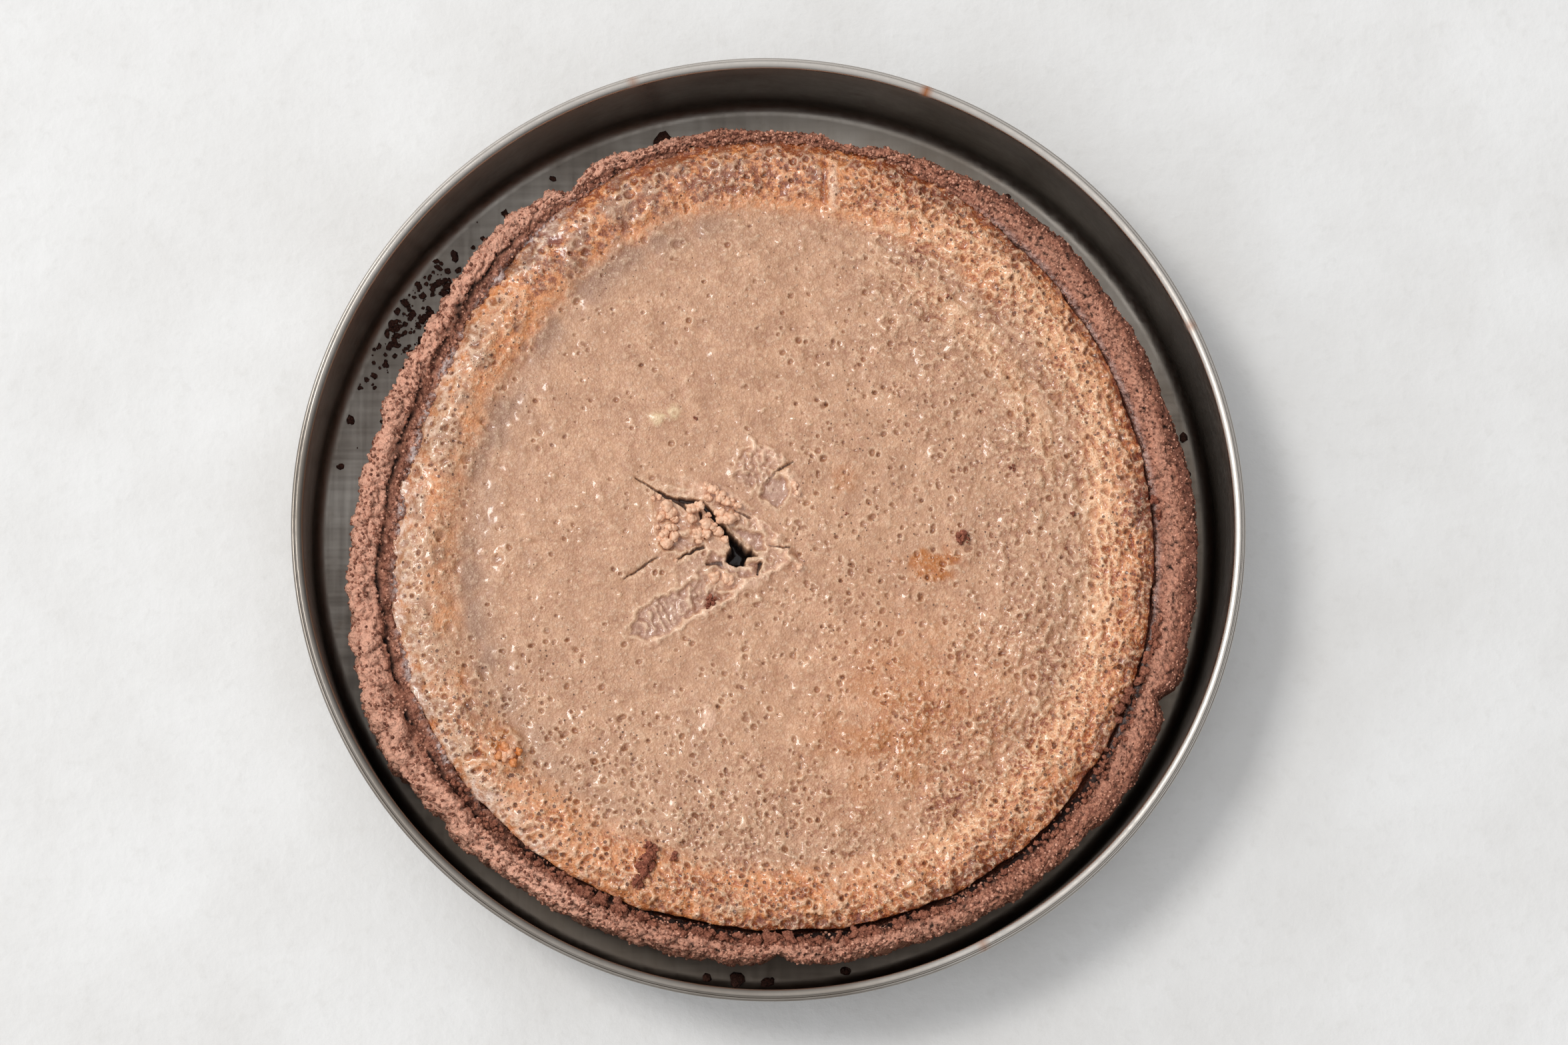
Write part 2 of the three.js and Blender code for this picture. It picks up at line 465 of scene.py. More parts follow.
def crumb_material(name, dark, middle, light):
    """Dry chocolate crumb: grains of three browns, dark specks, and painted shade in pores and
    hollows.
    Masks for painted light and shade by side, painted shade in pores, and a frosty bloom are nothing
    where a piece doesn't have them."""
    look = Paint(name, dark)
    grain = look.cells(0.9)
    fleck = look.noise(1.3, 4, 0.65)
    patch = look.noise(11, 3, 0.55, shift=3.0)
    speckle = look.noise(0.8, 2, 0.5, shift=6.0)
    tone_and_light = look.mask("tone_and_light")
    look.lay(look.spread(fleck, 0.36, 0.6), middle)
    look.lay(look.spread(grain, 0.0, 0.4, 0.6, 0.0), light)
    look.lay(look.spread(patch, 0.4, 0.7, 0.0, 0.3), dark)
    # Painted light and shade: above zero lightens, below zero darkens; on the loose grains it is a
    # random lighter or darker brown.
    look.lay(look.spread(tone_and_light, 0.0, 1.0, 0.0, 0.8), (252, 192, 164))
    look.lay(look.spread(tone_and_light, 0.0, -1.0, 0.0, 0.85), (92, 50, 38))
    look.lay(look.spread(speckle, 0.57, 0.7, 0.0, 0.4), (84, 46, 34))
    # Painted shade in pores, hollows, the groove and the crevice along the filling.
    look.lay("pore_shade", (34, 18, 14))
    mottled = look.times(look.mask("bloom"), look.spread(fleck, 0.35, 0.6, 0.15, 1.0))
    look.lay(mottled, (216, 196, 190))
    height = look.math("SUBTRACT", look.noise(0.7, 3, 0.6), grain)
    return look.finish(Roughness=0.82, Normal=look.relief(height, 0.5), Specular_IOR_Level=0.3)


def filling_material():
    """Baked custard: tan skin that is greyer in the crease and browned on the puffed ring, with
    painted shade in hollows, bubbles, pinholes and cracks, and painted highlights on raised parts.
    """
    look = Paint("baked_custard", (213, 163, 125))
    mottle = look.noise(7, 4, 0.6)
    speck = look.noise(1.3, 3, 0.6, shift=4.0)
    freckle = look.noise(2.6, 4, 0.7, shift=7.0)
    patch = look.noise(8, 4, 0.6, shift=12.0)
    lively = look.mask("lively")
    rugged = look.times(lively, look.spread(patch, 0.36, 0.6, 0.4, 1.1))
    domes = look.spread(look.cells(1.5), 0.05, 0.55, 0.5, 0.0)
    small_domes = look.spread(look.cells(0.8), 0.05, 0.55, 0.35, 0.0)
    grain = look.plus(speck, look.noise(0.55, 2, 0.5, shift=9.0))
    grain = look.plus(grain, look.plus(domes, small_domes))

    look.lay(look.spread(mottle, 0.35, 0.65), (188, 138, 102))
    look.lay(look.spread(speck, 0.47, 0.68, 0.0, 0.5), (160, 110, 80))
    browned = look.times(look.mask("brown"), look.spread(freckle, 0.34, 0.62, 0.3, 1.3))
    look.lay(look.spread(browned, 0.0, 0.5), (232, 152, 92))
    look.lay(look.spread(browned, 0.5, 1.0), (150, 78, 38))
    look.lay(look.times(look.mask("crease"), 0.9), (160, 118, 90))
    # Painted highlight on top of the puffed ring at the right.
    look.lay(look.times(look.mask("ring_highlight"), 0.8), (250, 194, 146))
    streak = look.spread(freckle, 0.42, 0.58, 0.2, 1.0)
    look.lay(look.times(look.mask("froth"), streak), (238, 210, 190))
    look.lay(look.times(look.mask("raw"), 0.7), (186, 148, 130))
    look.lay("pale", (234, 188, 158))
    look.lay("cream", (226, 198, 152))
    look.lay("syrup", (184, 106, 30))
    # Stains, and painted shadow in one crack.
    look.lay("stain_and_shade", (136, 62, 36))

    # Painted shade in hollows and painted highlights on raised parts, from how far each place stands
    # below or above its neighbours.
    crest_light_and_shade = look.mask("crest_light_and_shade")
    hollow_shade = look.times(look.spread(crest_light_and_shade, 0.0, -1.0, 0.0, 0.75), rugged)
    look.lay(hollow_shade, (180, 110, 64), "MULTIPLY")
    look.lay(look.spread(crest_light_and_shade, 0.1, 1.0, 0.0, 0.5), (248, 212, 176))
    # Painted shade in the dips and painted highlights on the tops of the little bumps.
    dip_shade = look.times(look.spread(grain, 1.12, 0.86, 0.0, 0.8), rugged)
    look.lay(dip_shade, (182, 112, 66), "MULTIPLY")
    look.lay(look.times(look.spread(grain, 1.32, 1.65, 0.0, 0.7), lively), (250, 220, 188))
    # Painted shade inside the bubbles.
    look.lay("pit_shade", (134, 80, 48))
    pitted = look.mask("pitted")
    holes = look.math("MAXIMUM", look.pinholes(2.7, 0.22, pitted), look.pinholes(1.5, 0.17, pitted))
    # Painted shade in the pinholes.
    look.lay(look.times(holes, 0.85), (104, 56, 32))
    # Painted shade in the tear's cracks and hole.
    gap = look.mask("gap")
    look.lay(gap, (40, 23, 16))

    rough = look.plus(look.spread(mottle, 0.3, 0.7, 0.3, 0.42), look.times(gap, 0.4))
    relief = look.relief(look.times(grain, lively), 0.45)
    relief = look.relief(look.math("SUBTRACT", 1.0, holes), 0.3, relief)
    return look.finish(Roughness=rough, Normal=relief, Coat_Weight=0.75, Coat_Roughness=0.12)


def torn_material():
    """Soft filling, pale where it was torn and browned where it was baked."""
    look = Paint("torn_custard", (246, 204, 172))
    speck = look.noise(1.2, 4, 0.65)
    look.lay(look.spread(speck, 0.35, 0.62), (226, 174, 140))
    look.lay("baked", (214, 132, 70))
    return look.finish(Roughness=0.36, Normal=look.relief(speck, 0.15))


def plaster_material():
    """The pale floor."""
    look = Paint("pale_plaster", (232, 231, 229))
    cloud = look.noise(60, 5, 0.6)
    speck = look.noise(5, 4, 0.6, shift=2.0)
    look.lay(look.spread(cloud, 0.35, 0.7), (222, 220, 217))
    look.lay(look.spread(speck, 0.55, 0.8, 0.0, 0.3), (206, 203, 198))
    return look.finish(Roughness=0.75, Normal=look.relief(speck, 0.3))


# ---------------------------------------------------------------- tin

def arc_points(x, y, radius, start, end, steps, rise=None):
    """An arc of a profile, from one angle to another in degrees. Its height may differ."""
    angle = np.radians(np.linspace(start, end, steps + 1))
    return np.c_[x + radius * np.cos(angle), y + (rise or radius) * np.sin(angle)]


# Dried drips on the tin's rim: direction, half width in degrees, strength
DRIPS = [(70, 0.6, 1.0), (25, 0.25, 0.5), (107, 0.25, 0.5), (296, 0.25, 0.5)]


def make_tin():
    """One closed wall of sheet metal turned about the tin's middle, with its crown and lip."""
    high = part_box("tin")[1]
    rim = high.x / MM
    top = high.z / MM
    crown_x = rim - CROWN_INSET - CROWN_OUTER
    inside = rim - CROWN_INSET - 2 * CROWN
    corner_x = inside - CORNER
    floor = np.linspace(0, corner_x, TIN_FLOOR_RINGS + 2)[1:-1]
    profile = np.vstack([
        np.c_[floor, np.zeros_like(floor)],
        arc_points(corner_x, SHEET + CORNER, SHEET + CORNER, -90, 0, 12),
        np.c_[np.full(6, inside + SHEET), np.linspace(8, top - LIP_DROP - LIP - 0.2, 6)],
        arc_points(rim - LIP, top - LIP_DROP, LIP, -90, 110, 14),
        arc_points(crown_x, top - CROWN, CROWN_OUTER, 0, 90, 9, rise=CROWN),
        arc_points(crown_x, top - CROWN, crown_x - inside, 90, 180, 14, rise=CROWN)[1:],
        np.c_[np.full(8, inside), np.linspace(top - CROWN - 2, 7, 8)],
        arc_points(corner_x, SHEET + CORNER, CORNER, 0, -90, 12),
        np.c_[floor[::-1], np.full(len(floor), SHEET)],
    ])
    angle = np.arange(TIN_COLUMNS) / TIN_COLUMNS * TURN
    radius = np.repeat(profile[:, :1], TIN_COLUMNS, 1)
    points = rows_to_points(radius, profile[:, 1:], angle, (0, 0), 0.0, SHEET)
    triangles = skin_triangles(len(profile), TIN_COLUMNS)
    tin = make_piece("tin_shell", points, triangles, steel_material(), "tin")
    paint_tin(tin, points, top)


def paint_tin(tin, points, top):
    """The rubbed rim, held back on the lower-left as painted shade; a dull brown layer that is darker
    low down, with painted shade towards the front-right and high on the lower-left; and the drips.
    """
    direction = np.arctan2(points[:, 1], points[:, 0])
    z = points[:, 2]
    high_up = smooth_step(z, top - 5, top - 1.2)
    on_rim = smooth_step(z, top - 2.2, top - 0.9)
    # Painted shade: darker low down, most towards the front-right where the pie shades the floor, and
    # high on the lower-left side.
    darkening = 0.45 + 0.45 * sector(direction, 290, 60, 50)
    film_and_shade = darkening * (1 - smooth_step(z, 3, 26)) + 0.6 * sector(direction, 220, 40, 35) * high_up
    stain_and_shade = np.zeros(len(points))
    for at, spread, strength in DRIPS:
        away = np.degrees(direction) % 360 - at
        stain_and_shade = np.maximum(stain_and_shade, strength * bump(away, spread) * on_rim)
    # The rubbed rim is lighter, except on the lower-left, where it is held back as painted shade.
    paint(tin, "rim_wear_and_shade", (1 - 0.8 * sector(direction, 225, 55, 35)) * high_up)
    paint(tin, "film_and_shade", film_and_shade)
    paint(tin, "stain_and_shade", stain_and_shade)


# ---------------------------------------------------------------- crust

def crust_rows():
    """Radius and height of the crust's rows, from its foot up, over its ridge and inward."""
    angle = np.arange(CRUST_COLUMNS) / CRUST_COLUMNS * TURN
    outer = radius_at(CRUST_OUTLINE, angle)
    inner = radius_at(FILLING_OUTLINE, angle)
    width = outer - inner
    low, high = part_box("crust")
    underside, ridge = low.z / MM, high.z / MM - 0.8
    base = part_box("filling")[0].z / MM - 0.3
    left = sector(angle, 178, 42, 20)
    top = sector(angle, 95, 28, 14)
    right = sector(angle, 5, 40, 20)
    front = sector(angle, 272, 48, 18)
    ridge = ridge - 1.6 * top + 0.5 * left
    # Radius, height and how many rows lead to the next, up the outside, over and down the inside
    controls = [
        (outer - FOOT_TUCK, underside, 2),
        (outer - 1.0, underside + 3, 4),
        (outer, BULGE_LEVEL, 7),
        (outer + 0.1, ridge - 6, 8),
        (outer - 0.6, ridge - 1.2, 8),
        (outer - 0.28 * width, ridge + 0.2 - 1.2 * right, 8),
        (inner + 0.46 * width, ridge - 0.5 - 1.4 * left + 0.4 * right - 0.4 * front, 7),
        (inner + 0.22 * width, ridge - 1.6 - 2.2 * left + 0.8 * right - 2.2 * front, 5),
        (inner + 0.5, LIP_LEVEL + 0.9 * right - 1.4 * front, 4),
        (inner + 0.3, INSIDE_LEVEL, 2),
        (inner - 3.7, base, 0),
    ]
    radius, height = [], []
    for (r0, z0, steps), (r1, z1, _) in zip(controls[:-1], controls[1:]):
        for t in np.arange(steps) / steps:
            radius.append(r0 + (r1 - r0) * t)
            height.append(np.broadcast_to(z0 + (z1 - z0) * t, angle.shape))
    radius.append(controls[-1][0])
    height.append(np.broadcast_to(controls[-1][1], angle.shape))
    radius, height = np.array(radius), np.array(height)
    radius[:-3] = blend_rows(radius[:-3].copy(), 4)
    height[:-3] = blend_rows(height[:-3].copy(), 4)
    return angle, radius, height, base, underside


def crust_relief(random, angle, radius, height):
    """How far the crust's clods, grains and groove stand out, and what they are made from."""
    shape = radius.shape
    lump = noise(random, shape, 5.5 / CRUST_CELL, 7 / CRUST_CELL)
    clod = np.tanh(1.2 * np.abs(noise(random, shape, 3.4 / CRUST_CELL, 3.8 / CRUST_CELL)))
    grain = np.tanh(1.4 * np.abs(noise(random, shape, 1.7 / CRUST_CELL, 1.7 / CRUST_CELL)))
    hole = noise(random, shape, 1.1 / CRUST_CELL, 1.1 / CRUST_CELL)
    inner = radius_at(FILLING_OUTLINE, angle)
    width = radius_at(CRUST_OUTLINE, angle) - inner
    left = sector(angle, 178, 40, 16)
    crumbly = 1 - 0.5 * sector(angle, 5, 42, 18)
    fade = smooth_step(height, 3, 12) * smooth_step(np.arange(shape[0])[::-1], 2, 6)[:, None]
    groove_place = 0.41 - 0.11 * sector(angle, 208, 14, 10) + 0.05 * lump
    groove = bump(radius - inner - groove_place * width, 0.75) * left * (height > GROOVE_LEVEL)
    groove *= smooth_step(clod + 0.5 * lump, -0.4, 0.6)
    pits = smooth_step(hole, 1.3, 2.0) * (0.35 + 0.65 * crumbly)
    relief = (0.4 + 0.25 * left) * np.clip(lump, -1.8, 1.8) + (1.2 + 0.4 * left) * clod * crumbly
    relief += 0.75 * grain - 0.95
    relief = (relief - 0.7 * pits) * fade - 1.6 * groove
    return SimpleNamespace(relief=relief, lump=lump, hole=hole, pits=pits, groove=groove, fade=fade)


def make_crust():
    """The crust's skin, moved along its own slope by its relief. Gives its final rows."""
    random = np.random.default_rng(11)
    angle, radius, height, base, underside = crust_rows()
    field = crust_relief(random, angle, radius, height)
    down = np.gradient(height, axis=0)
    across = np.gradient(radius, axis=0)
    length = np.hypot(down, across) + 1e-9
    radius = radius + field.relief * down / length
    height = height - field.relief * across / length
    points = rows_to_points(radius, height, angle, CENTRE, underside, base)
    triangles = skin_triangles(*radius.shape)
    material = crumb_material("chocolate_crumb", (138, 84, 66), (196, 134, 108), (236, 178, 148))
    crust = make_piece("crust_shell", points, triangles, material, "crust")
    paint_crust(crust, angle, radius, field)
    return radius, height, angle


def paint_crust(crust, angle, radius, field):
    """Painted shade in pores, hollows, the groove and the crevice, a frosty bloom along the filling,
    and painted light and shade on the lit and shaded sides.
    """
    inner = radius_at(FILLING_OUTLINE, angle)
    out = radius - inner
    share = out / (radius_at(CRUST_OUTLINE, angle) - inner)
    left = sector(angle, 178, 40, 16)
    front = sector(angle, 288, 52, 14)

    # Painted shade: darker in hollows, pores, the left groove and along the filling, most at the front
    # and less on the lit left side.
    hollow_shade = blurred(field.relief, 4 / CRUST_CELL) - field.relief
    sunk = np.clip(hollow_shade / 0.8 - 0.15, 0, 1)
    sunk = np.clip(sunk * (1 + 0.5 * sector(angle, 8, 45, 18)), 0, 1)
    crevice_shade = bump(out - 0.4, 0.9) * 0.3 + front * (1 - smooth_step(out, 1.6, 3.4)) * 0.9
    pore_shade = (0.55 - 0.45 * left) * field.pits + (0.8 - 0.35 * left) * sunk
    pore_shade = np.clip(pore_shade + 0.7 * field.groove + crevice_shade, 0, 1)

    bloom = 1.3 * sector(angle, 168, 44, 16) * bump(out - 0.5, 1.3)
    bloom = bloom * smooth_step(field.hole + field.lump, -1.2, 1.2)
    bloom = bloom + 0.55 * sector(angle, 12, 42, 10) * bump(out - 0.8, 0.9)

    # Painted light: lighter on the outer part at the left, at the front and on the middle of the
    # right; painted shade: darker on the outer right and on the inner slope at the left.
    tone_and_light = 0.9 * sector(angle, 172, 62, 14) + 0.45 * sector(angle, 262, 25, 20)
    tone_and_light = tone_and_light * smooth_step(share, 0.36, 0.54)
    tone_and_light += 0.3 * sector(angle, 12, 40, 16) * bump(share - 0.4, 0.2)
    tone_and_light -= 0.8 * sector(angle, 12, 44, 16) * smooth_step(share + 0.05 * field.lump, 0.66, 0.78)
    tone_and_light -= 0.15 * left * bump(share - 0.3, 0.2)
    for name, values in (("pore_shade", pore_shade), ("bloom", bloom), ("tone_and_light", tone_and_light)):
        paint(crust, name, np.r_[0.0, (values * field.fade).ravel(), 0.0])


def make_crust_grains(radius, height, angle):
    """Separate crumbs that stand out of the crust's surface, above its foot."""
    random = np.random.default_rng(23)
    column = random.integers(0, len(angle), GRAIN_COUNT)
    row = random.integers(8, radius.shape[0] - 5, GRAIN_COUNT)
    places = around_pie(radius[row, column], angle[column], height[row, column])
    crumbly = 1 - 0.35 * sector(angle[column], 5, 42, 18)
    sizes = random.uniform(0.28, 0.62, GRAIN_COUNT) * crumbly
    points, triangles = lumps(random, places, sizes, 1, 0.14)
    material = crumb_material("crumb_grains", (136, 82, 64), (190, 129, 104), (230, 172, 142))
    grains = make_piece("crust_grains", points, triangles, material)
    tone_and_light = random.uniform(-1, 1, GRAIN_COUNT)
    paint(grains, "tone_and_light", np.repeat(tone_and_light, len(points) // GRAIN_COUNT))


# ---------------------------------------------------------------- filling

def survey_filling():
    """The filling's square grid: each place's radius and direction, and the regions it is in."""
    axis = np.arange(-HALF_SPAN, HALF_SPAN, CELL)
    x, y = np.meshgrid(axis, axis)
    radius = np.hypot(x, y)
    angle = np.arctan2(y, x)
    share = radius / radius_at(FILLING_OUTLINE, angle)
    return SimpleNamespace(
        x=x, y=y, radius=radius, angle=angle, share=share,
        ring=smooth_step(share, 0.8, 0.93),
        right=sector(angle, 5, 55, 25),
        front=sector(angle, 300, 40, 30),
        left=sector(angle, 165, 45, 30),
        dimpled=sector(angle, 240, 26, 22) * smooth_step(share, 0.5, 0.68),
    )


def polar_noise(random, at, radial_size, around_size):
    """Noise whose hills have these sizes outward and round the pie, at the puffed ring."""
    rows, step = 2400, 0.25
    around_cell = TURN * RING_RADIUS / rows
    field = noise(random, (rows, 512), around_size / around_cell, radial_size / step)
    return sample(field, at.angle / TURN * rows, at.radius / step)


def raise_skin(random, at):
    """Heights of the filling's skin without its bubbles. Adds its noises to the survey."""
    shape = at.x.shape
    shares = np.linspace(0, 1.1, 441)
    height = np.interp(at.share, shares, blend_rows(np.interp(shares, *ring_heights()), 60))
    lively = 0.8 * at.right + 0.5 * at.front
    lively = 0.1 + 0.4 * at.ring + 0.6 * lively * smooth_step(at.share, 0.35, 0.85)
    swell = noise(random, shape, 26 / CELL, 26 / CELL)
    lively = lively * (1 - 0.2 * at.left) * (1 + 0.25 * noise(random, shape, 60, 60))
    lively = np.clip(lively, 0, 1)
    ripple = noise(random, shape, 6.5 / CELL, 6.5 / CELL)
    skin = noise(random, shape, 2.2 / CELL, 2.2 / CELL)
    fine_skin = noise(random, shape, 1.1 / CELL, 1.1 / CELL)
    scales = polar_noise(random, at, 1.5, 3.4)
    slabs = polar_noise(random, at, 2.6, 7.5)

    height += 0.22 * swell + (0.07 + 0.2 * lively) * ripple + 0.05 * skin + 0.025 * fine_skin
    beads = 0.42 * np.clip(skin - 0.1, 0, None) + 0.26 * np.clip(fine_skin - 0.2, 0, None)
    height += lively * beads - 0.16 * lively * np.clip(-skin - 0.6, 0, None)
    wrinkled = smooth_step(at.share, 0.6, 0.76) * (0.35 * at.ring + 0.65) * (0.25 + 0.75 * at.right)
    height += wrinkled * (0.28 * scales + 0.3 * np.tanh(1.5 * slabs)) * (at.share < 0.97)
    creased = bump(at.share - 0.83, 0.06) * (0.25 + 0.75 * sector(at.angle, 25, 30, 30))
    height += 0.2 * creased * np.sin(at.radius / 4.2 * TURN + 1.5 * ripple + 0.6 * swell)
    height -= 0.9 * sector(at.angle, 178, 34, 14) * smooth_step(at.share, 0.93, 1.0)
    at.lively, at.ripple, at.skin, at.fine_skin = lively, ripple, skin, fine_skin
    return height


def scatter(random, count, chance):
    """Random places on the grid, likelier where the chance is greater."""
    cell = random.choice(chance.size, count, p=(chance / chance.sum()).ravel())
    row, column = np.divmod(cell, chance.shape[1])
    shift = random.uniform(0, CELL, (2, count))
    return column * CELL - HALF_SPAN + shift[0], row * CELL - HALF_SPAN + shift[1]


def cells_between(low, high):
    """The grid's cells from one place to another along an axis."""
    return slice(int((low + HALF_SPAN) / CELL), int((high + HALF_SPAN) / CELL) + 2)


def press_pits(random, height, pit_shade, places, radii, depths, rims, shade):
    """Presses bowls with raised rims into the height grid, and marks their painted shade in the shade
    grid.
    A depth below zero raises a blister instead."""
    for x, y, radius, depth, rim in zip(*places, radii, depths, rims):
        reach = radius * 2.2 + CELL
        columns = cells_between(x - reach, x + reach)
        rows = cells_between(y - reach, y + reach)
        across = np.arange(columns.start, columns.stop) * CELL - HALF_SPAN - x
        along = (np.arange(rows.start, rows.stop) * CELL - HALF_SPAN - y)[:, None]
        turn = random.uniform(0, math.pi)
        stretch = random.uniform(1.0, 1.45)
        u = (across * math.cos(turn) + along * math.sin(turn)) / stretch
        v = along * math.cos(turn) - across * math.sin(turn)
        away = np.hypot(u, v) / radius
        bowl = np.clip(1 - away**2, 0, 1)
        height[rows, columns] += rim * bump(away - 1.25, 0.35) - depth * np.sqrt(bowl)
        # Painted shade inside the bowl.
        if shade:
            dark = shade * smooth_step(bowl, 0.15, 0.8)
            pit_shade[rows, columns] = np.maximum(pit_shade[rows, columns], dark)


# Bubbles in the filling's skin: how many, smallest and largest radius, depth as a share of
# the radius, height of the rim, how dark, and which chance says where they are
# The darkness column is painted shade inside each bubble.
BUBBLES = [
    (1700, 0.4, 0.9, -0.5, 0.0, 0.0, "lively"),
    (2600, 0.3, 0.6, -0.7, 0.0, 0.0, "all"),
    (1700, 0.4, 0.65, 1.0, 0.14, 0.3, "all"),
    (600, 0.6, 1.0, 0.8, 0.14, 0.34, "all"),
    (60, 1.0, 1.5, 0.5, 0.22, 0.3, "edge"),
    (34, 1.0, 1.7, 0.25, 0.12, 0.5, "left"),
    (190, 0.45, 0.75, 1.2, 0.04, 1.0, "all"),
    (260, 0.45, 0.8, 1.2, 0.04, 1.0, "edge"),
]

# Marks on the skin, from the pie's centre: x, y, half width, half depth, lift, colour mask
# and strength
MARKS = [
    (-35.4, 37.0, 2.4, 2.5, 0.8, "cream", 0.85),
    (-30.5, 39.1, 2.1, 2.0, 0.6, "cream", 0.65),
    (-20.0, -53.0, 1.8, 4.5, 0.5, "pale", 0.7),
    (20.0, 18.0, 4.5, 4.0, 0.0, "syrup", 0.4),
    (46.5, -6.5, 7.2, 5.0, 0.1, "syrup", 1.0),
    (109.0, 11.0, 4.0, 8.0, 0.0, "stain_and_shade", 0.85),
    (104.0, 18.0, 2.5, 2.5, 0.0, "stain_and_shade", 0.5),
    (-66.0, 91.0, 3.0, 2.0, -0.6, "stain_and_shade", 0.7),
    (-88.5, -63.0, 1.4, 1.1, -1.2, "stain_and_shade", 0.8),
    (17.6, 107.0, 1.5, 8.0, 1.1, "pale", 0.6),
    # Painted shadow in the crack beside the raised pale mark above it.
    (14.6, 108.0, 0.9, 7.0, -0.9, "stain_and_shade", 0.3),
]

# A scab of browned filling near the edge: place from the pie's centre, half width, height and
# how many lumps lie on it
SCAB = (-80.5, -62.5)
SCAB_SIZE = 5.4
SCAB_HEIGHT = 1.5
SCAB_LUMPS = 12


def press_bubbles(random, at, height):
    """Presses the bubbles and blisters into the heights, and gives the mask of painted shade inside
    them.
    """
    edge = 0.25 * at.ring + smooth_step(at.share, 0.92, 0.97)
    middle = 0.16 + 0.3 * at.ring + 0.2 * at.front + 0.7 * at.dimpled + 0.3 * at.right
    chances = {
        "all": middle * (1 - 0.4 * at.left),
        "edge": edge * (1 - 0.6 * at.left),
        "left": sector(at.angle, 165, 45, 15) * bump(at.share - 0.86, 0.07),
        "lively": at.lively**2,
    }
    pit_shade = np.zeros(height.shape)
    for count, low, high, depth, rim, shade, where in BUBBLES:
        places = scatter(random, count, chances[where] * (at.share < 0.985))
        radii = random.uniform(low, high, count)
        depths = radii * depth * random.uniform(0.6, 1.3, count)
        rims = rim * random.uniform(0.3, 1.4, count)
        press_pits(random, height, pit_shade, places, radii, depths, rims, shade)
    return pit_shade


def browned_skin(at, patchy, blotchy):
    """How browned the skin is: most on the ring and along its edge."""
    share, angle, ring = at.share, at.angle, at.ring
    pale_edge = 0.8 * sector(angle, 200, 45, 20)
    browned_edge = 0.55 + 0.25 * sector(angle, 295, 32, 15)
    brown = 0.4 * smooth_step(share, 0.8, 0.9)
    brown += browned_edge * smooth_step(share, 0.95, 1.0) * (1 - pale_edge)
    brown += (0.13 * patchy + 0.13 * blotchy) * ring - 0.05 * at.skin * ring
    brown -= 0.18 * sector(angle, 180, 40, 20) * ring
    brown += 0.18 * sector(angle, 290, 42, 20) * ring
    brown += 0.4 * sector(angle, 112, 28, 16) * bump(share - 0.9, 0.06)
    brown += 0.3 * sector(angle, 92, 34, 20) * ring
    brown -= 0.15 * sector(angle, 15, 35, 20) * bump(share - 0.88, 0.05)
    brown += 0.2 * bump(np.hypot(at.x - 45, at.y + 52), 30) * (1 - ring)
    return brown


def colour_masks(random, at, pit_shade):
    """Where the skin is browned, greyish, frothy, pitted or damp, with the painted highlight on top of
    the puffed ring and the painted shade inside bubbles.
    """
    share, angle, ring, shape = at.share, at.angle, at.ring, at.x.shape
    patchy = noise(random, shape, 16 / CELL, 16 / CELL)
    blotchy = noise(random, shape, 7 / CELL, 7 / CELL)
    damp = 0.7 * bump(np.hypot(at.x - 36, at.y + 58), 24)
    damp *= smooth_step(blotchy + at.ripple, -1.6, 1.2)
    valley = bump(share - 0.81, 0.045) * (0.1 + 0.9 * sector(angle, 160, 50, 25))
    valley *= 0.35 + 0.65 * smooth_step(at.ripple + 0.9 * blotchy, -1.3, 0.8)
    greyish = smooth_step(blotchy + 0.5 * at.ripple, 0.2, 1.4) * ring * (0.15 + 0.7 * at.left)
    froth = smooth_step(share, 0.92, 0.99) * sector(angle, 180, 50, 16)
    froth *= smooth_step(at.fine_skin + at.skin + 0.9 * patchy, -1.0, 0.9)
    second = sector(angle, 42, 16, 20)
    # Where the painted highlight goes: along the top of the puffed ring, with a second, inner band at
    # the upper right.
    crest_light_and_shade = bump(share - 0.87 - 0.045 * second, 0.045) + 0.6 * bump(share - 0.755, 0.035) * second
    pitted = np.clip(0.35 + 0.5 * ring + 0.3 * at.dimpled + 0.15 * at.right, 0, 1)
    at.blotchy = blotchy
    return {
        "brown": browned_skin(at, patchy, blotchy),
        "crease": np.clip(valley + greyish, 0, 1),
        "froth": froth,
        "ring_highlight": crest_light_and_shade * sector(angle, 0, 55, 30),
        "pit_shade": pit_shade,
        "pitted": pitted * (share < 0.99),
        "cream": np.zeros(shape),
        "pale": np.zeros(shape),
        "syrup": damp,
        "stain_and_shade": np.zeros(shape),
    }


def add_marks(at, height, masks):
    """Raises or sinks the marks and adds them to their colour masks."""
    for mark_x, mark_y, wide, deep, lift, mask, strength in MARKS:
        away = np.hypot((at.x - mark_x) / wide, (at.y - mark_y) / deep)
        spot = bump(away + 0.15 * at.skin, 1)
        height += lift * spot
        sharp = smooth_step(spot + 0.1 * at.ripple, 0.25, 0.6)
        masks[mask] = np.maximum(masks[mask], strength * sharp)


def add_scab(at, height, masks):
    """Raises the browned scab and colours it amber."""
    scab = bump(np.hypot(at.x - SCAB[0], at.y - SCAB[1]) + 0.6 * at.ripple, SCAB_SIZE)
    scab = smooth_step(scab, 0.2, 0.5)
    height += SCAB_HEIGHT * scab * (0.7 + 0.3 * np.tanh(np.abs(at.ripple)))
    masks["brown"] += 0.15 * scab
    amber = scab * smooth_step(at.blotchy + at.skin, -1.3, 0.5)
    masks["syrup"] = np.maximum(masks["syrup"], amber)


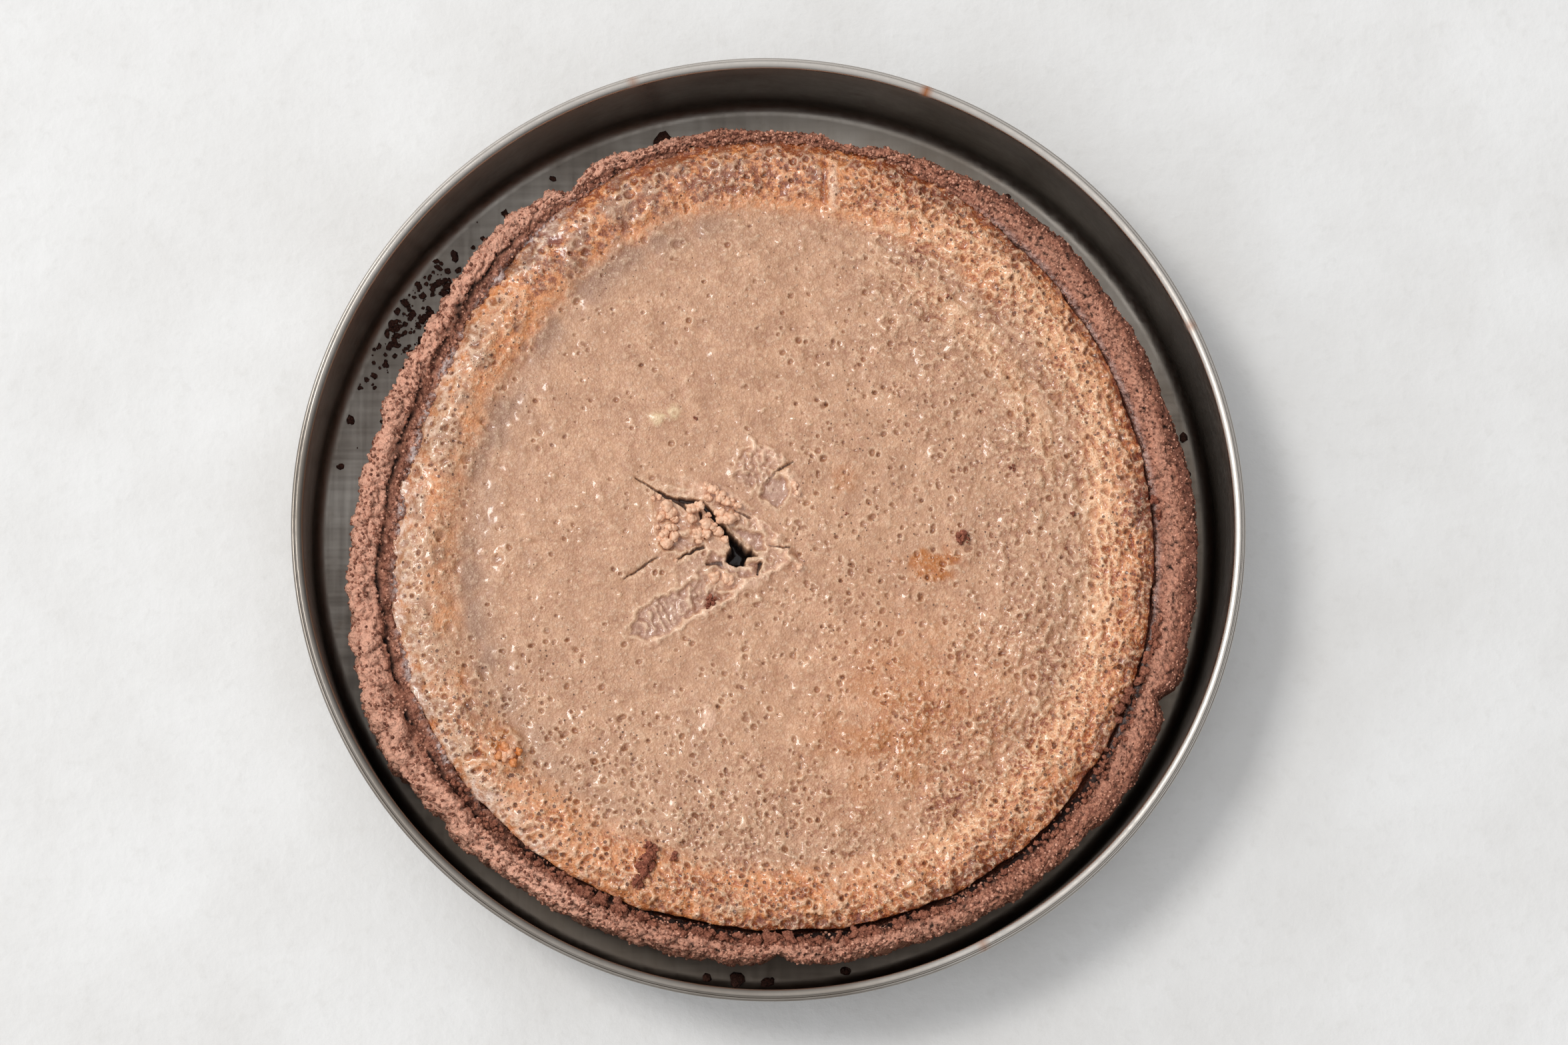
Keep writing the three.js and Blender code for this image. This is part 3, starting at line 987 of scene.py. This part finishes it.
def filling_fields():
    """Heights and colour masks of the filling's top, on its square grid."""
    random = np.random.default_rng(5)
    at = survey_filling()
    height = raise_skin(random, at)
    pit_shade = press_bubbles(random, at, height)
    masks = colour_masks(random, at, pit_shade)
    add_marks(at, height, masks)
    add_scab(at, height, masks)
    tear_open(at, height, masks)
    # Painted light and shade: how far each place stands above or below its neighbours.
    masks["crest_light_and_shade"] = np.tanh((height - blurred(height, 3.0 / CELL)) / 0.25)
    masks["lively"] = 0.4 + 0.6 * at.lively
    return height, masks


def segment_distance(x, y, start, end):
    """Distance to a straight stretch, and how far along it the nearest point lies."""
    run = np.subtract(end, start)
    along = np.clip(((x - start[0]) * run[0] + (y - start[1]) * run[1]) / (run @ run), 0, 1)
    return np.hypot(x - start[0] - along * run[0], y - start[1] - along * run[1]), along


# The tear's cuts, from the pie's centre: start, end, half widths there and depth
CUTS = [
    ((-42, 19), (-35, 14.8), 0.12, 0.34, 1.6),
    ((-35, 14.8), (-28, 11.4), 0.34, 0.75, 2.6),
    ((-28.6, 12.6), (-22, 11.6), 0.5, 0.8, 3.2),
    ((-22, 11.6), (-18.5, 7), 0.7, 0.7, 4.0),
    ((-18.5, 7), (-15.5, 3), 0.5, 0.8, 4.5),
    ((-28, 11.4), (-25.8, 8.8), 0.5, 0.25, 2.4),
    ((-22.6, 8.6), (-22.0, 5.6), 0.4, 0.3, 2.4),
    ((-45.3, -11), (-40.2, -8), 0.1, 0.34, 1.3),
    ((-40.2, -8), (-35.3, -5), 0.34, 0.14, 1.2),
    ((-29.7, -5.4), (-22, -1.6), 0.22, 0.55, 2.0),
    ((4.9, 23.8), (0.8, 21.4), 0.14, 0.46, 1.5),
    ((0.8, 21.4), (-3, 18.2), 0.22, 0.12, 0.8),
    ((-21, -6.6), (-16.5, -6.4), 0.3, 0.6, 1.8),
    ((-2.5, -1.2), (3.8, -2.0), 0.12, 0.22, 0.7),
    ((-12.6, 9.4), (-8.2, 7.2), 0.15, 0.3, 0.9),
    ((-5.2, -6.4), (-5.6, -9.6), 0.6, 0.3, 2.6),
]

# The hole at the end of the tear, its corners and depth
HOLE = [(-17, 4.4), (-14.4, 3), (-11.4, 0.8), (-8.8, -1.8), (-5, -4.4), (-8.6, -4.6), (-9.4, -6.9),
        (-12, -7.2), (-15, -5.8), (-15, -3.6), (-13.2, -2.2), (-14, -0.8), (-16.4, 2.4)]
HOLE_DEPTH = 13

# Areas where the skin came away: corners, depth of the step down, and roughness
SHELL_PATCH = (
    ((-44, -27), (-38, -30.5), (-25, -23.5), (-13, -16), (-21, -9), (-31, -14), (-41, -20)), 0.8, 0.2)
PATCHES = [
    (((-36, 14), (-28, 15), (-14, 15), (-4, 5), (5, -5), (-2, -9), (-13, -16), (-26, -24),
      (-31, -15), (-30, -7), (-24, -3), (-35, -2)), 0.3, 0.22),
    SHELL_PATCH,
    (((-3.5, 17.5), (2.5, 19), (3.6, 12), (0.3, 8.5), (-6, 14)), 1.0, 0.06),
    (((-13, 20), (-9, 27.5), (-6, 28), (0, 24), (-3, 17), (-8, 13)), 0.5, 0.5),
    (((-16, 6), (-8, 3), (-1, -1.5), (-3.5, -4.2), (-8, -2.6)), 1.4, 0.06),
    (((-21, -5), (-15, -4), (-9, -6), (-5, -6.4), (-5.4, -10), (-12, -9.4), (-20, -8)), 1.3, 0.3),
    (((-35, 0), (-29, 2.4), (-22.5, -1), (-28, -4.6), (-34, -3)), 0.8, 0.05),
]

# Raised torn edges: start, end, half width and height
RIDGES = [
    ((-37.5, -31), (-25.5, -23.6), 1.3, 0.9),
    ((-25.5, -23.6), (-13.5, -16.8), 1.0, 0.55),
    ((-12, -14.5), (4, -5.4), 1.5, 0.8),
    ((-7.5, 29.3), (1.2, 23.6), 1.2, 0.9),
    ((4.6, 20), (6.6, 13.4), 1.4, 1.1),
    ((-1, 1.2), (7, -7.6), 1.8, 1.1),
    ((-12, 11), (-3, 3.5), 1.6, 0.8),
    ((-26, 16), (-12, 12), 2.2, 0.7),
    ((-21, -2), (-17.5, -4.2), 0.9, 0.8),
]


def inside_polygon(x, y, corners):
    """How far inside a polygon each place is, below zero outside."""
    nearest = np.full(x.shape, 1e9)
    crossings = np.zeros(x.shape, int)
    for (x0, y0), (x1, y1) in zip(corners, corners[1:] + corners[:1]):
        nearest = np.minimum(nearest, segment_distance(x, y, (x0, y0), (x1, y1))[0])
        spans = (y0 > y) != (y1 > y)
        crossings += spans & (x < (x1 - x0) * (y - y0) / (y1 - y0 + 1e-12) + x0)
    return np.where(crossings % 2 == 1, nearest, -nearest)


def torn_patches(at):
    """Height change and rawness where the skin came away, with shell-like arcs in one patch."""
    jagged_x, jagged_y = at.jagged
    change = np.zeros(at.x.shape)
    raw = np.zeros(at.x.shape)
    for corners, depth, rough in PATCHES:
        inside = inside_polygon(jagged_x, jagged_y, corners) + 0.7 * at.ripple
        torn = smooth_step(inside, -0.3, 0.9)
        change += torn * (rough * np.abs(at.skin) + 0.5 * rough * at.fine_skin - depth)
        change += 0.25 * bump(inside + 0.7, 0.7)
        raw = np.maximum(raw, torn * min(1, depth))
    shells = smooth_step(inside_polygon(at.x, at.y, SHELL_PATCH[0]), -0.5, 2.5)
    arcs = np.hypot(at.x + 22, at.y + 15) + 1.1 * at.ripple + 0.5 * at.skin
    change += 0.4 * shells * np.sin(arcs / 2.6 * TURN) * (0.6 + 0.4 * at.ripple)
    return change, raw


def torn_ridges(at, change):
    """Raises the torn edges, and gives the mask of their paler colour."""
    pale = np.zeros(at.x.shape)
    for start, end, wide, tall in RIDGES:
        away = segment_distance(*at.jagged, start, end)[0]
        ridge = bump(away, wide * (1 + 0.25 * at.ripple)) * (0.75 + 0.35 * at.skin)
        change += tall * ridge
        pale = np.maximum(pale, 0.9 * ridge)
    return pale


def torn_gaps(at, change):
    """Cuts the cracks and the hole. Gives the height change and the mask of their painted shade."""
    gap_shade = np.zeros(at.x.shape)
    wavy_x = at.x + 0.12 * at.skin + 0.1 * at.fine_skin
    wavy_y = at.y + 0.12 * np.roll(at.skin, 40, 0)
    for start, end, wide_start, wide_end, depth in CUTS:
        away, along = segment_distance(wavy_x, wavy_y, start, end)
        wide = wide_start + (wide_end - wide_start) * along
        gap = smooth_step(-away, -wide * 1.2, -wide * 0.7)
        change = np.minimum(change, change * (1 - gap) - depth * gap)
        gap_shade = np.maximum(gap_shade, gap * min(1, 0.5 + depth / 7))
    inside = inside_polygon(at.x + 0.3 * at.skin, at.y + 0.2 * at.fine_skin, HOLE)
    hole = smooth_step(inside, -0.15, 0.55)
    change = change * (1 - hole) - (HOLE_DEPTH - 3 * bump(inside, 0.8)) * hole
    return change, np.maximum(gap_shade, smooth_step(inside, -0.3, 0.5))


def tear_open(whole, height, masks):
    """Cuts the tear and its torn patches into the middle of the filling's fields."""
    window = tuple(
        slice(int((HALF_SPAN + low) / CELL), int((HALF_SPAN + high) / CELL))
        for low, high in (TEAR_ROWS, TEAR_COLUMNS)
    )
    names = ("x", "y", "skin", "fine_skin", "ripple")
    at = SimpleNamespace(**{name: getattr(whole, name)[window] for name in names})
    at.jagged = (
        at.x + 0.35 * at.skin + 0.25 * at.fine_skin,
        at.y + 0.35 * np.roll(at.skin, 40, 0) + 0.25 * np.roll(at.fine_skin, 40, 0),
    )
    change, raw = torn_patches(at)
    pale = torn_ridges(at, change)
    change, gap_shade = torn_gaps(at, change)
    height[window] += change
    masks["raw"] = np.zeros(height.shape)
    masks["gap"] = np.zeros(height.shape)
    masks["raw"][window] = raw
    masks["gap"][window] = gap_shade
    masks["pit_shade"][window] *= 1 - smooth_step(raw + pale, 0, 0.5)
    masks["pale"][window] = np.clip(masks["pale"][window] + pale, 0, 1) * (1 - gap_shade)
    masks["pitted"][window] *= 1 - np.clip(raw + pale + gap_shade, 0, 1)


def disc_triangles(rings):
    """Triangles of a disc whose ring k has 6 k points, after a hub point."""
    parts = [np.c_[np.zeros(6, int), 1 + np.arange(6), 1 + (np.arange(6) + 1) % 6]]
    for k in range(1, rings):
        inner = 1 + 3 * k * (k - 1)
        outer = 1 + 3 * k * (k + 1)
        side, step = np.divmod(np.arange(6 * (k + 1)), k + 1)
        outer_here = outer + side * (k + 1) + step
        outer_next = outer + (side * (k + 1) + step + 1) % (6 * (k + 1))
        inner_here = inner + (side * k + step) % (6 * k)
        parts.append(np.c_[inner_here, outer_here, outer_next])
        side, step = np.divmod(np.arange(6 * k), k)
        inner_here = inner + side * k + step
        inner_next = inner + (side * k + step + 1) % (6 * k)
        outer_next = outer + (side * (k + 1) + step + 1) % (6 * (k + 1))
        parts.append(np.c_[inner_here, outer_next, inner_next])
    return np.concatenate(parts)


def crevice_at(angle):
    """How far the filling stands back from the crust. Below zero it reaches over it."""
    random = np.random.default_rng(17)
    uneven = 0
    for waves in (23, 37, 61, 97, 149, 211):
        uneven = uneven + 9 / (waves + 14) * np.sin(waves * angle + random.uniform(0, TURN))
    back = 0.9 * sector(angle, 292, 32, 14) + 0.3 * sector(angle, 0, 22, 12)
    over = 1.3 * sector(angle, 95, 32, 12) + 1.7 * sector(angle, 170, 25, 14)
    return back - over + uneven


def thin_out(piece, triangles):
    """Merges triangles where the surface is plain, down to a number of them."""
    thinner = piece.modifiers.new("thin_out", "DECIMATE")
    thinner.ratio = triangles / len(piece.data.polygons)
    ready = piece.evaluated_get(bpy.context.evaluated_depsgraph_get())
    mesh = bpy.data.meshes.new_from_object(ready)
    piece.modifiers.clear()
    piece.data = mesh


def on_grid(grid, x, y):
    """A grid's values at places given from the pie's centre."""
    return sample(grid, (np.asarray(y) + HALF_SPAN) / CELL, (np.asarray(x) + HALF_SPAN) / CELL)


def make_filling():
    """A fine disc over the filling's height grid, with a side and an underside. Gives the grid."""
    height, masks = filling_fields()
    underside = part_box("filling")[0].z / MM
    counts = 6 * np.arange(1, FILLING_RINGS + 1)
    angle = np.r_[0, np.concatenate([np.arange(count) / count for count in counts]) * TURN]
    share = np.r_[0, np.repeat(counts / counts[-1], counts)]
    radius = share * (radius_at(FILLING_OUTLINE, angle) - crevice_at(angle))
    top = around_pie(radius, angle, on_grid(height, radius * np.cos(angle), radius * np.sin(angle)))
    edge = len(top) - counts[-1] + np.arange(counts[-1])
    below = edge + counts[-1]
    hub = np.full(counts[-1], below[-1] + 1)
    inward = np.c_[np.cos(angle[edge]), np.sin(angle[edge])]
    skirt = np.c_[top[edge, :2] - SKIRT_TUCK * inward, np.full(counts[-1], underside)]
    points = np.vstack([top, skirt, [[*CENTRE, underside]]])
    triangles = np.concatenate([
        disc_triangles(FILLING_RINGS),
        np.c_[edge, below, np.roll(below, -1)],
        np.c_[edge, np.roll(below, -1), np.roll(edge, -1)],
        np.c_[hub, np.roll(below, -1), below],
    ])
    filling = make_piece("filling_body", points, triangles, filling_material(), "filling")
    thin_out(filling, FILLING_TRIANGLES)
    flat = np.empty(len(filling.data.vertices) * 3, np.float32)
    filling.data.vertices.foreach_get("co", flat)
    place = flat.reshape(-1, 3) / MM
    for name, grid in masks.items():
        paint(filling, name, on_grid(grid, place[:, 0] - CENTRE[0], place[:, 1] - CENTRE[1]))
    return height


# ---------------------------------------------------------------- loose pieces

# Crumbled filling beside the tear, from the pie's centre: x, y, half width and lift
TORN_LUMPS = [
    (-32.6, 10.8, 1.9, 0.9), (-31.4, 8.4, 1.8, 0.6), (-33.8, 7.6, 1.5, 0.3), (-30.2, 6.4, 1.1, 0.2),
    (-31.4, 3.9, 1.5, 0.6), (-33.2, 2.0, 1.5, 0.5), (-30.8, 1.4, 1.6, 0.7), (-32.6, -0.9, 1.8, 0.6),
    (-34.7, 0.9, 1.0, 0.1), (-24.8, 9.5, 2.0, 1.6), (-25.2, 6.7, 1.9, 1.2), (-23.2, 10.3, 1.4, 1.5),
    (-16.9, 8.3, 1.8, 1.2), (-14.5, 6.9, 1.9, 1.1), (-12.4, 6.9, 1.4, 0.6), (-17.0, 6.2, 1.4, 0.9),
    (-20.8, 4.9, 1.7, 1.4), (-20.8, 2.4, 1.7, 1.0), (-23.4, 2.4, 1.7, 0.9), (-23.1, 0.3, 1.4, 0.5),
    (-17.3, 2.8, 1.6, 0.8), (-15.6, 0.6, 1.3, 0.4), (-19.0, 4.2, 1.3, 1.2), (-20.3, 8.0, 1.0, 0.2),
    (-20.6, 16.6, 1.3, 0.3), (-18.8, 15.2, 1.5, 0.4), (-16.8, 13.6, 1.7, 0.5), (-15.2, 11.9, 1.6, 0.6),
    (-20.0, 12.9, 1.2, 0.3), (-13.5, 11.4, 1.4, 0.4), (-11.5, 10.6, 1.1, 0.2), (-34.8, 13.2, 0.8, 0.1),
    (-36.5, 12.8, 0.7, 0.1), (-35.4, 4.2, 0.7, 0.2), (-29.9, -5.7, 0.6, 0.2), (6.7, -7.8, 0.9, 0.2),
    (5.4, 16.6, 1.1, 0.1), (6.3, 14.2, 0.9, 0.1), (-18.6, -10.4, 1.6, -0.4), (-14.2, -11.2, 1.8, -0.5),
]


def make_torn_lumps(height):
    """Crumbled filling: each lump is one large ball and a few knobs, all uneven."""
    random = np.random.default_rng(31)
    scab = np.c_[
        random.normal(SCAB[0], 0.5 * SCAB_SIZE, SCAB_LUMPS),
        random.normal(SCAB[1], 0.4 * SCAB_SIZE, SCAB_LUMPS),
        random.uniform(0.7, 1.6, SCAB_LUMPS),
        np.zeros(SCAB_LUMPS),
    ]
    x, y, size, lift = np.concatenate([TORN_LUMPS, scab]).T
    baked = np.r_[np.zeros(len(TORN_LUMPS)), random.uniform(-0.15, 1.2, SCAB_LUMPS).clip(0, 1)]
    z = on_grid(height, x, y) + 0.3 * size + lift
    main = np.c_[x + CENTRE[0], y + CENTRE[1], np.maximum(z, TORN_LEVEL + lift)]
    way = random.standard_normal((len(x), KNOBS, 3))
    way /= np.linalg.norm(way, axis=2, keepdims=True)
    way[..., 2] = 0.6 * way[..., 2] + 0.15
    around = (main[:, None] + 0.65 * size[:, None, None] * way).reshape(-1, 3)
    small = (size[:, None] * random.uniform(0.4, 0.68, (len(x), KNOBS))).ravel()
    places = np.concatenate([main, around])
    sizes = np.concatenate([0.85 * size, small])
    points, triangles = lumps(random, places, sizes, 3, 0.17)
    piece = make_piece("torn_lumps", points, triangles, torn_material())
    corners = len(points) // len(sizes)
    paint(piece, "baked", np.repeat(np.r_[baked, np.repeat(baked, KNOBS)], corners))


# Crumbs on the filling, from the pie's centre: x, y, half width and how many grains
TOP_CRUMBS = [
    (-37.6, -91.0, 1.9, 8), (-38.4, -94.0, 2.3, 11), (-39.4, -97.2, 2.0, 9), (-40.8, -100.4, 1.7, 7),
    (-30.8, -93.2, 1.2, 4), (55, 1, 1.8, 6), (20.6, 8.3, 0.7, 2), (-19.7, -17.6, 1.4, 5),
    (-20.6, -19.2, 0.8, 2), (-23.9, 37, 0.7, 2), (70, 22, 0.9, 2), (86, -2, 0.7, 2), (88, 8, 0.8, 2),
    (112.6, 13, 1.5, 5), (113.6, 8, 1.3, 5), (90, 58, 0.7, 2), (52, 74, 0.8, 2), (101, -24, 0.8, 2),
]


def make_top_crumbs(height):
    """Small heaps of crust crumbs on the filling."""
    random = np.random.default_rng(37)
    places, sizes = [], []
    for x, y, reach, share in TOP_CRUMBS:
        count = 3 * share
        turn = random.uniform(0, TURN, count)
        out = reach * random.uniform(0, 1.1, count)
        px, py = x + out * np.cos(turn), y + out * np.sin(turn)
        sizes.append(random.uniform(0.2, 0.5, count) * reach)
        z = on_grid(height, px, py) + random.uniform(0.2, 0.6, count) * reach
        places.append(np.c_[px + CENTRE[0], py + CENTRE[1], z])
    points, triangles = lumps(random, np.concatenate(places), np.concatenate(sizes), 3, 0.3)
    material = crumb_material("top_crumb", (122, 66, 50), (172, 104, 80), (212, 144, 114))
    make_piece("top_crumbs", points, triangles, material)


# Broken bits of crust by the right edge, from the pie's centre: direction, radius, half width
FALLEN_CRUMBS = [
    (346.2, 115.2, 1.5), (344.4, 116.2, 1.0), (342.6, 114.6, 1.3), (340.2, 115.2, 1.5),
    (338.6, 114.4, 1.2), (336.6, 113.2, 1.6), (335.2, 112.8, 1.5), (333.6, 112.8, 1.6),
    (332.0, 113.4, 1.2), (348.4, 116.0, 0.8), (4.5, 114.0, 0.9),
]


def make_loose_crumbs():
    """Crumbs that fell into the crevice between the filling and the crust."""
    random = np.random.default_rng(41)
    angle = np.radians(random.uniform(212, 348, CREVICE_CRUMBS))
    radius = radius_at(FILLING_OUTLINE, angle) + random.normal(2.3, 0.8, CREVICE_CRUMBS)
    larger = 1 + 0.6 * sector(angle, 268, 22, 15)
    sizes = random.uniform(0.35, 0.85, CREVICE_CRUMBS) * larger
    z = CREVICE_LEVEL + random.uniform(0, 2.0, CREVICE_CRUMBS) + 0.8 * sizes
    fallen_angle, fallen_radius, fallen_size = np.array(FALLEN_CRUMBS).T
    fallen_z = FALLEN_LEVEL + 0.5 * fallen_size
    places = np.concatenate([
        around_pie(radius, angle, z),
        around_pie(fallen_radius, np.radians(fallen_angle), fallen_z),
    ])
    points, triangles = lumps(random, places, np.r_[sizes, fallen_size], 3, 0.42)
    material = crumb_material("loose_crumb", (116, 66, 50), (170, 108, 84), (216, 154, 124))
    make_piece("loose_crumbs", points, triangles, material)


# Burnt crumbs on the tin's floor, from the tin's middle: direction, radius, half width
SINGLE_BURNT = [
    (9, 131, 0.9), (14, 132, 1.1), (40, 130, 0.7), (55, 131, 1.2), (104, 128, 2.4), (120, 130, 1.0),
    (128, 129, 1.2), (132, 126, 0.8), (170, 131, 1.0), (262, 133, 1.4), (266, 132.5, 1.9),
    (270, 133, 1.6), (280, 132, 1.3),
]


def make_burnt_crumbs():
    """A drift of burnt crumbs on the tin's floor, and a few single ones."""
    random = np.random.default_rng(53)
    single_direction, single_radius, single_size = np.array(SINGLE_BURNT).T
    angle = np.radians(np.r_[random.normal(147, 5.5, BURNT_COUNT), single_direction])
    radius = np.r_[118 + 15 * random.uniform(0, 1, BURNT_COUNT) ** 0.7, single_radius]
    sizes = np.r_[random.uniform(0.3, 1.15, BURNT_COUNT) ** 1.6, single_size]
    places = np.c_[radius * np.cos(angle), radius * np.sin(angle), SHEET + 0.25 * sizes]
    points, triangles = lumps(random, places, sizes, 2, 0.35, flat=0.4)
    material = crumb_material("burnt_crumb", (52, 32, 26), (86, 52, 41), (124, 80, 62))
    make_piece("burnt_crumbs", points, triangles, material)


# ---------------------------------------------------------------- stage, light and camera

def make_floor():
    """The pale surface below the tin, which isn't part of the object."""
    mesh = bpy.data.meshes.new("floor")
    corners = [(x * FLOOR_HALF, y * FLOOR_HALF, 0) for x, y in ((-1, -1), (1, -1), (1, 1), (-1, 1))]
    mesh.from_pydata(corners, [], [(0, 1, 2, 3)])
    floor = bpy.data.objects.new("floor", mesh)
    bpy.context.scene.collection.objects.link(floor)
    mesh.materials.append(plaster_material())


def light_room():
    """A soft room that is brightest towards the window's side."""
    world = bpy.data.worlds.new("soft_room")
    world.use_nodes = True
    nodes, links = world.node_tree.nodes, world.node_tree.links
    background = nodes["Background"]
    background.inputs["Color"].default_value = (0.96, 0.975, 1.0, 1)
    towards = nodes.new("ShaderNodeVectorMath")
    towards.operation = "DOT_PRODUCT"
    towards.inputs[1].default_value = Vector(ROOM_BRIGHT_SIDE).normalized()
    fade = nodes.new("ShaderNodeMapRange")
    fade.interpolation_type = "SMOOTHSTEP"
    fade.inputs["From Min"].default_value, fade.inputs["From Max"].default_value = ROOM_FADE
    fade.inputs["To Min"].default_value = ROOM_DIM
    fade.inputs["To Max"].default_value = ROOM_BRIGHT
    links.new(nodes.new("ShaderNodeTexCoord").outputs["Generated"], towards.inputs[0])
    links.new(towards.outputs["Value"], fade.inputs["Value"])
    links.new(fade.outputs["Result"], background.inputs["Strength"])
    bpy.context.scene.world = world
    bpy.context.scene.view_settings.view_transform = "Standard"


def light_window():
    """The window's own light, aimed at the tin's middle."""
    data = bpy.data.lights.new("window", "AREA")
    data.shape = "RECTANGLE"
    data.size = data.size_y = WINDOW_SIZE
    data.energy = WINDOW_POWER
    data.color = (1.0, 0.985, 0.96)
    light = bpy.data.objects.new("window", data)
    light.location = WINDOW_PLACE
    light.rotation_euler = (-Vector(WINDOW_PLACE)).to_track_quat("-Z", "Y").to_euler()
    bpy.context.scene.collection.objects.link(light)


def make_camera():
    """Looks down at the rim's level, at the angle fitted to the photograph."""
    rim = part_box("tin")[1].z
    tilt, turn = math.radians(VIEW_TILT), math.radians(VIEW_TURN)
    level = math.sin(tilt)
    forward = Vector((level * math.sin(turn), level * math.cos(turn), -math.cos(tilt)))
    up = Vector((1, 0, 0)).cross(forward).normalized()
    right = forward.cross(up)
    data = bpy.data.cameras.new("camera")
    data.lens = LENS
    data.sensor_width = SENSOR
    data.clip_start = 0.01
    camera = bpy.data.objects.new("camera", data)
    place = Vector((*VIEW_AIM, rim)) - forward * VIEW_DISTANCE
    turned = Matrix((right, up, -forward)).transposed().to_4x4()
    camera.matrix_world = Matrix.Translation(place) @ turned
    bpy.context.scene.collection.objects.link(camera)
    bpy.context.scene.camera = camera


make_camera()
make_tin()
make_crust_grains(*make_crust())
top_height = make_filling()
make_torn_lumps(top_height)
make_top_crumbs(top_height)
make_loose_crumbs()
make_burnt_crumbs()
make_floor()
light_room()
light_window()
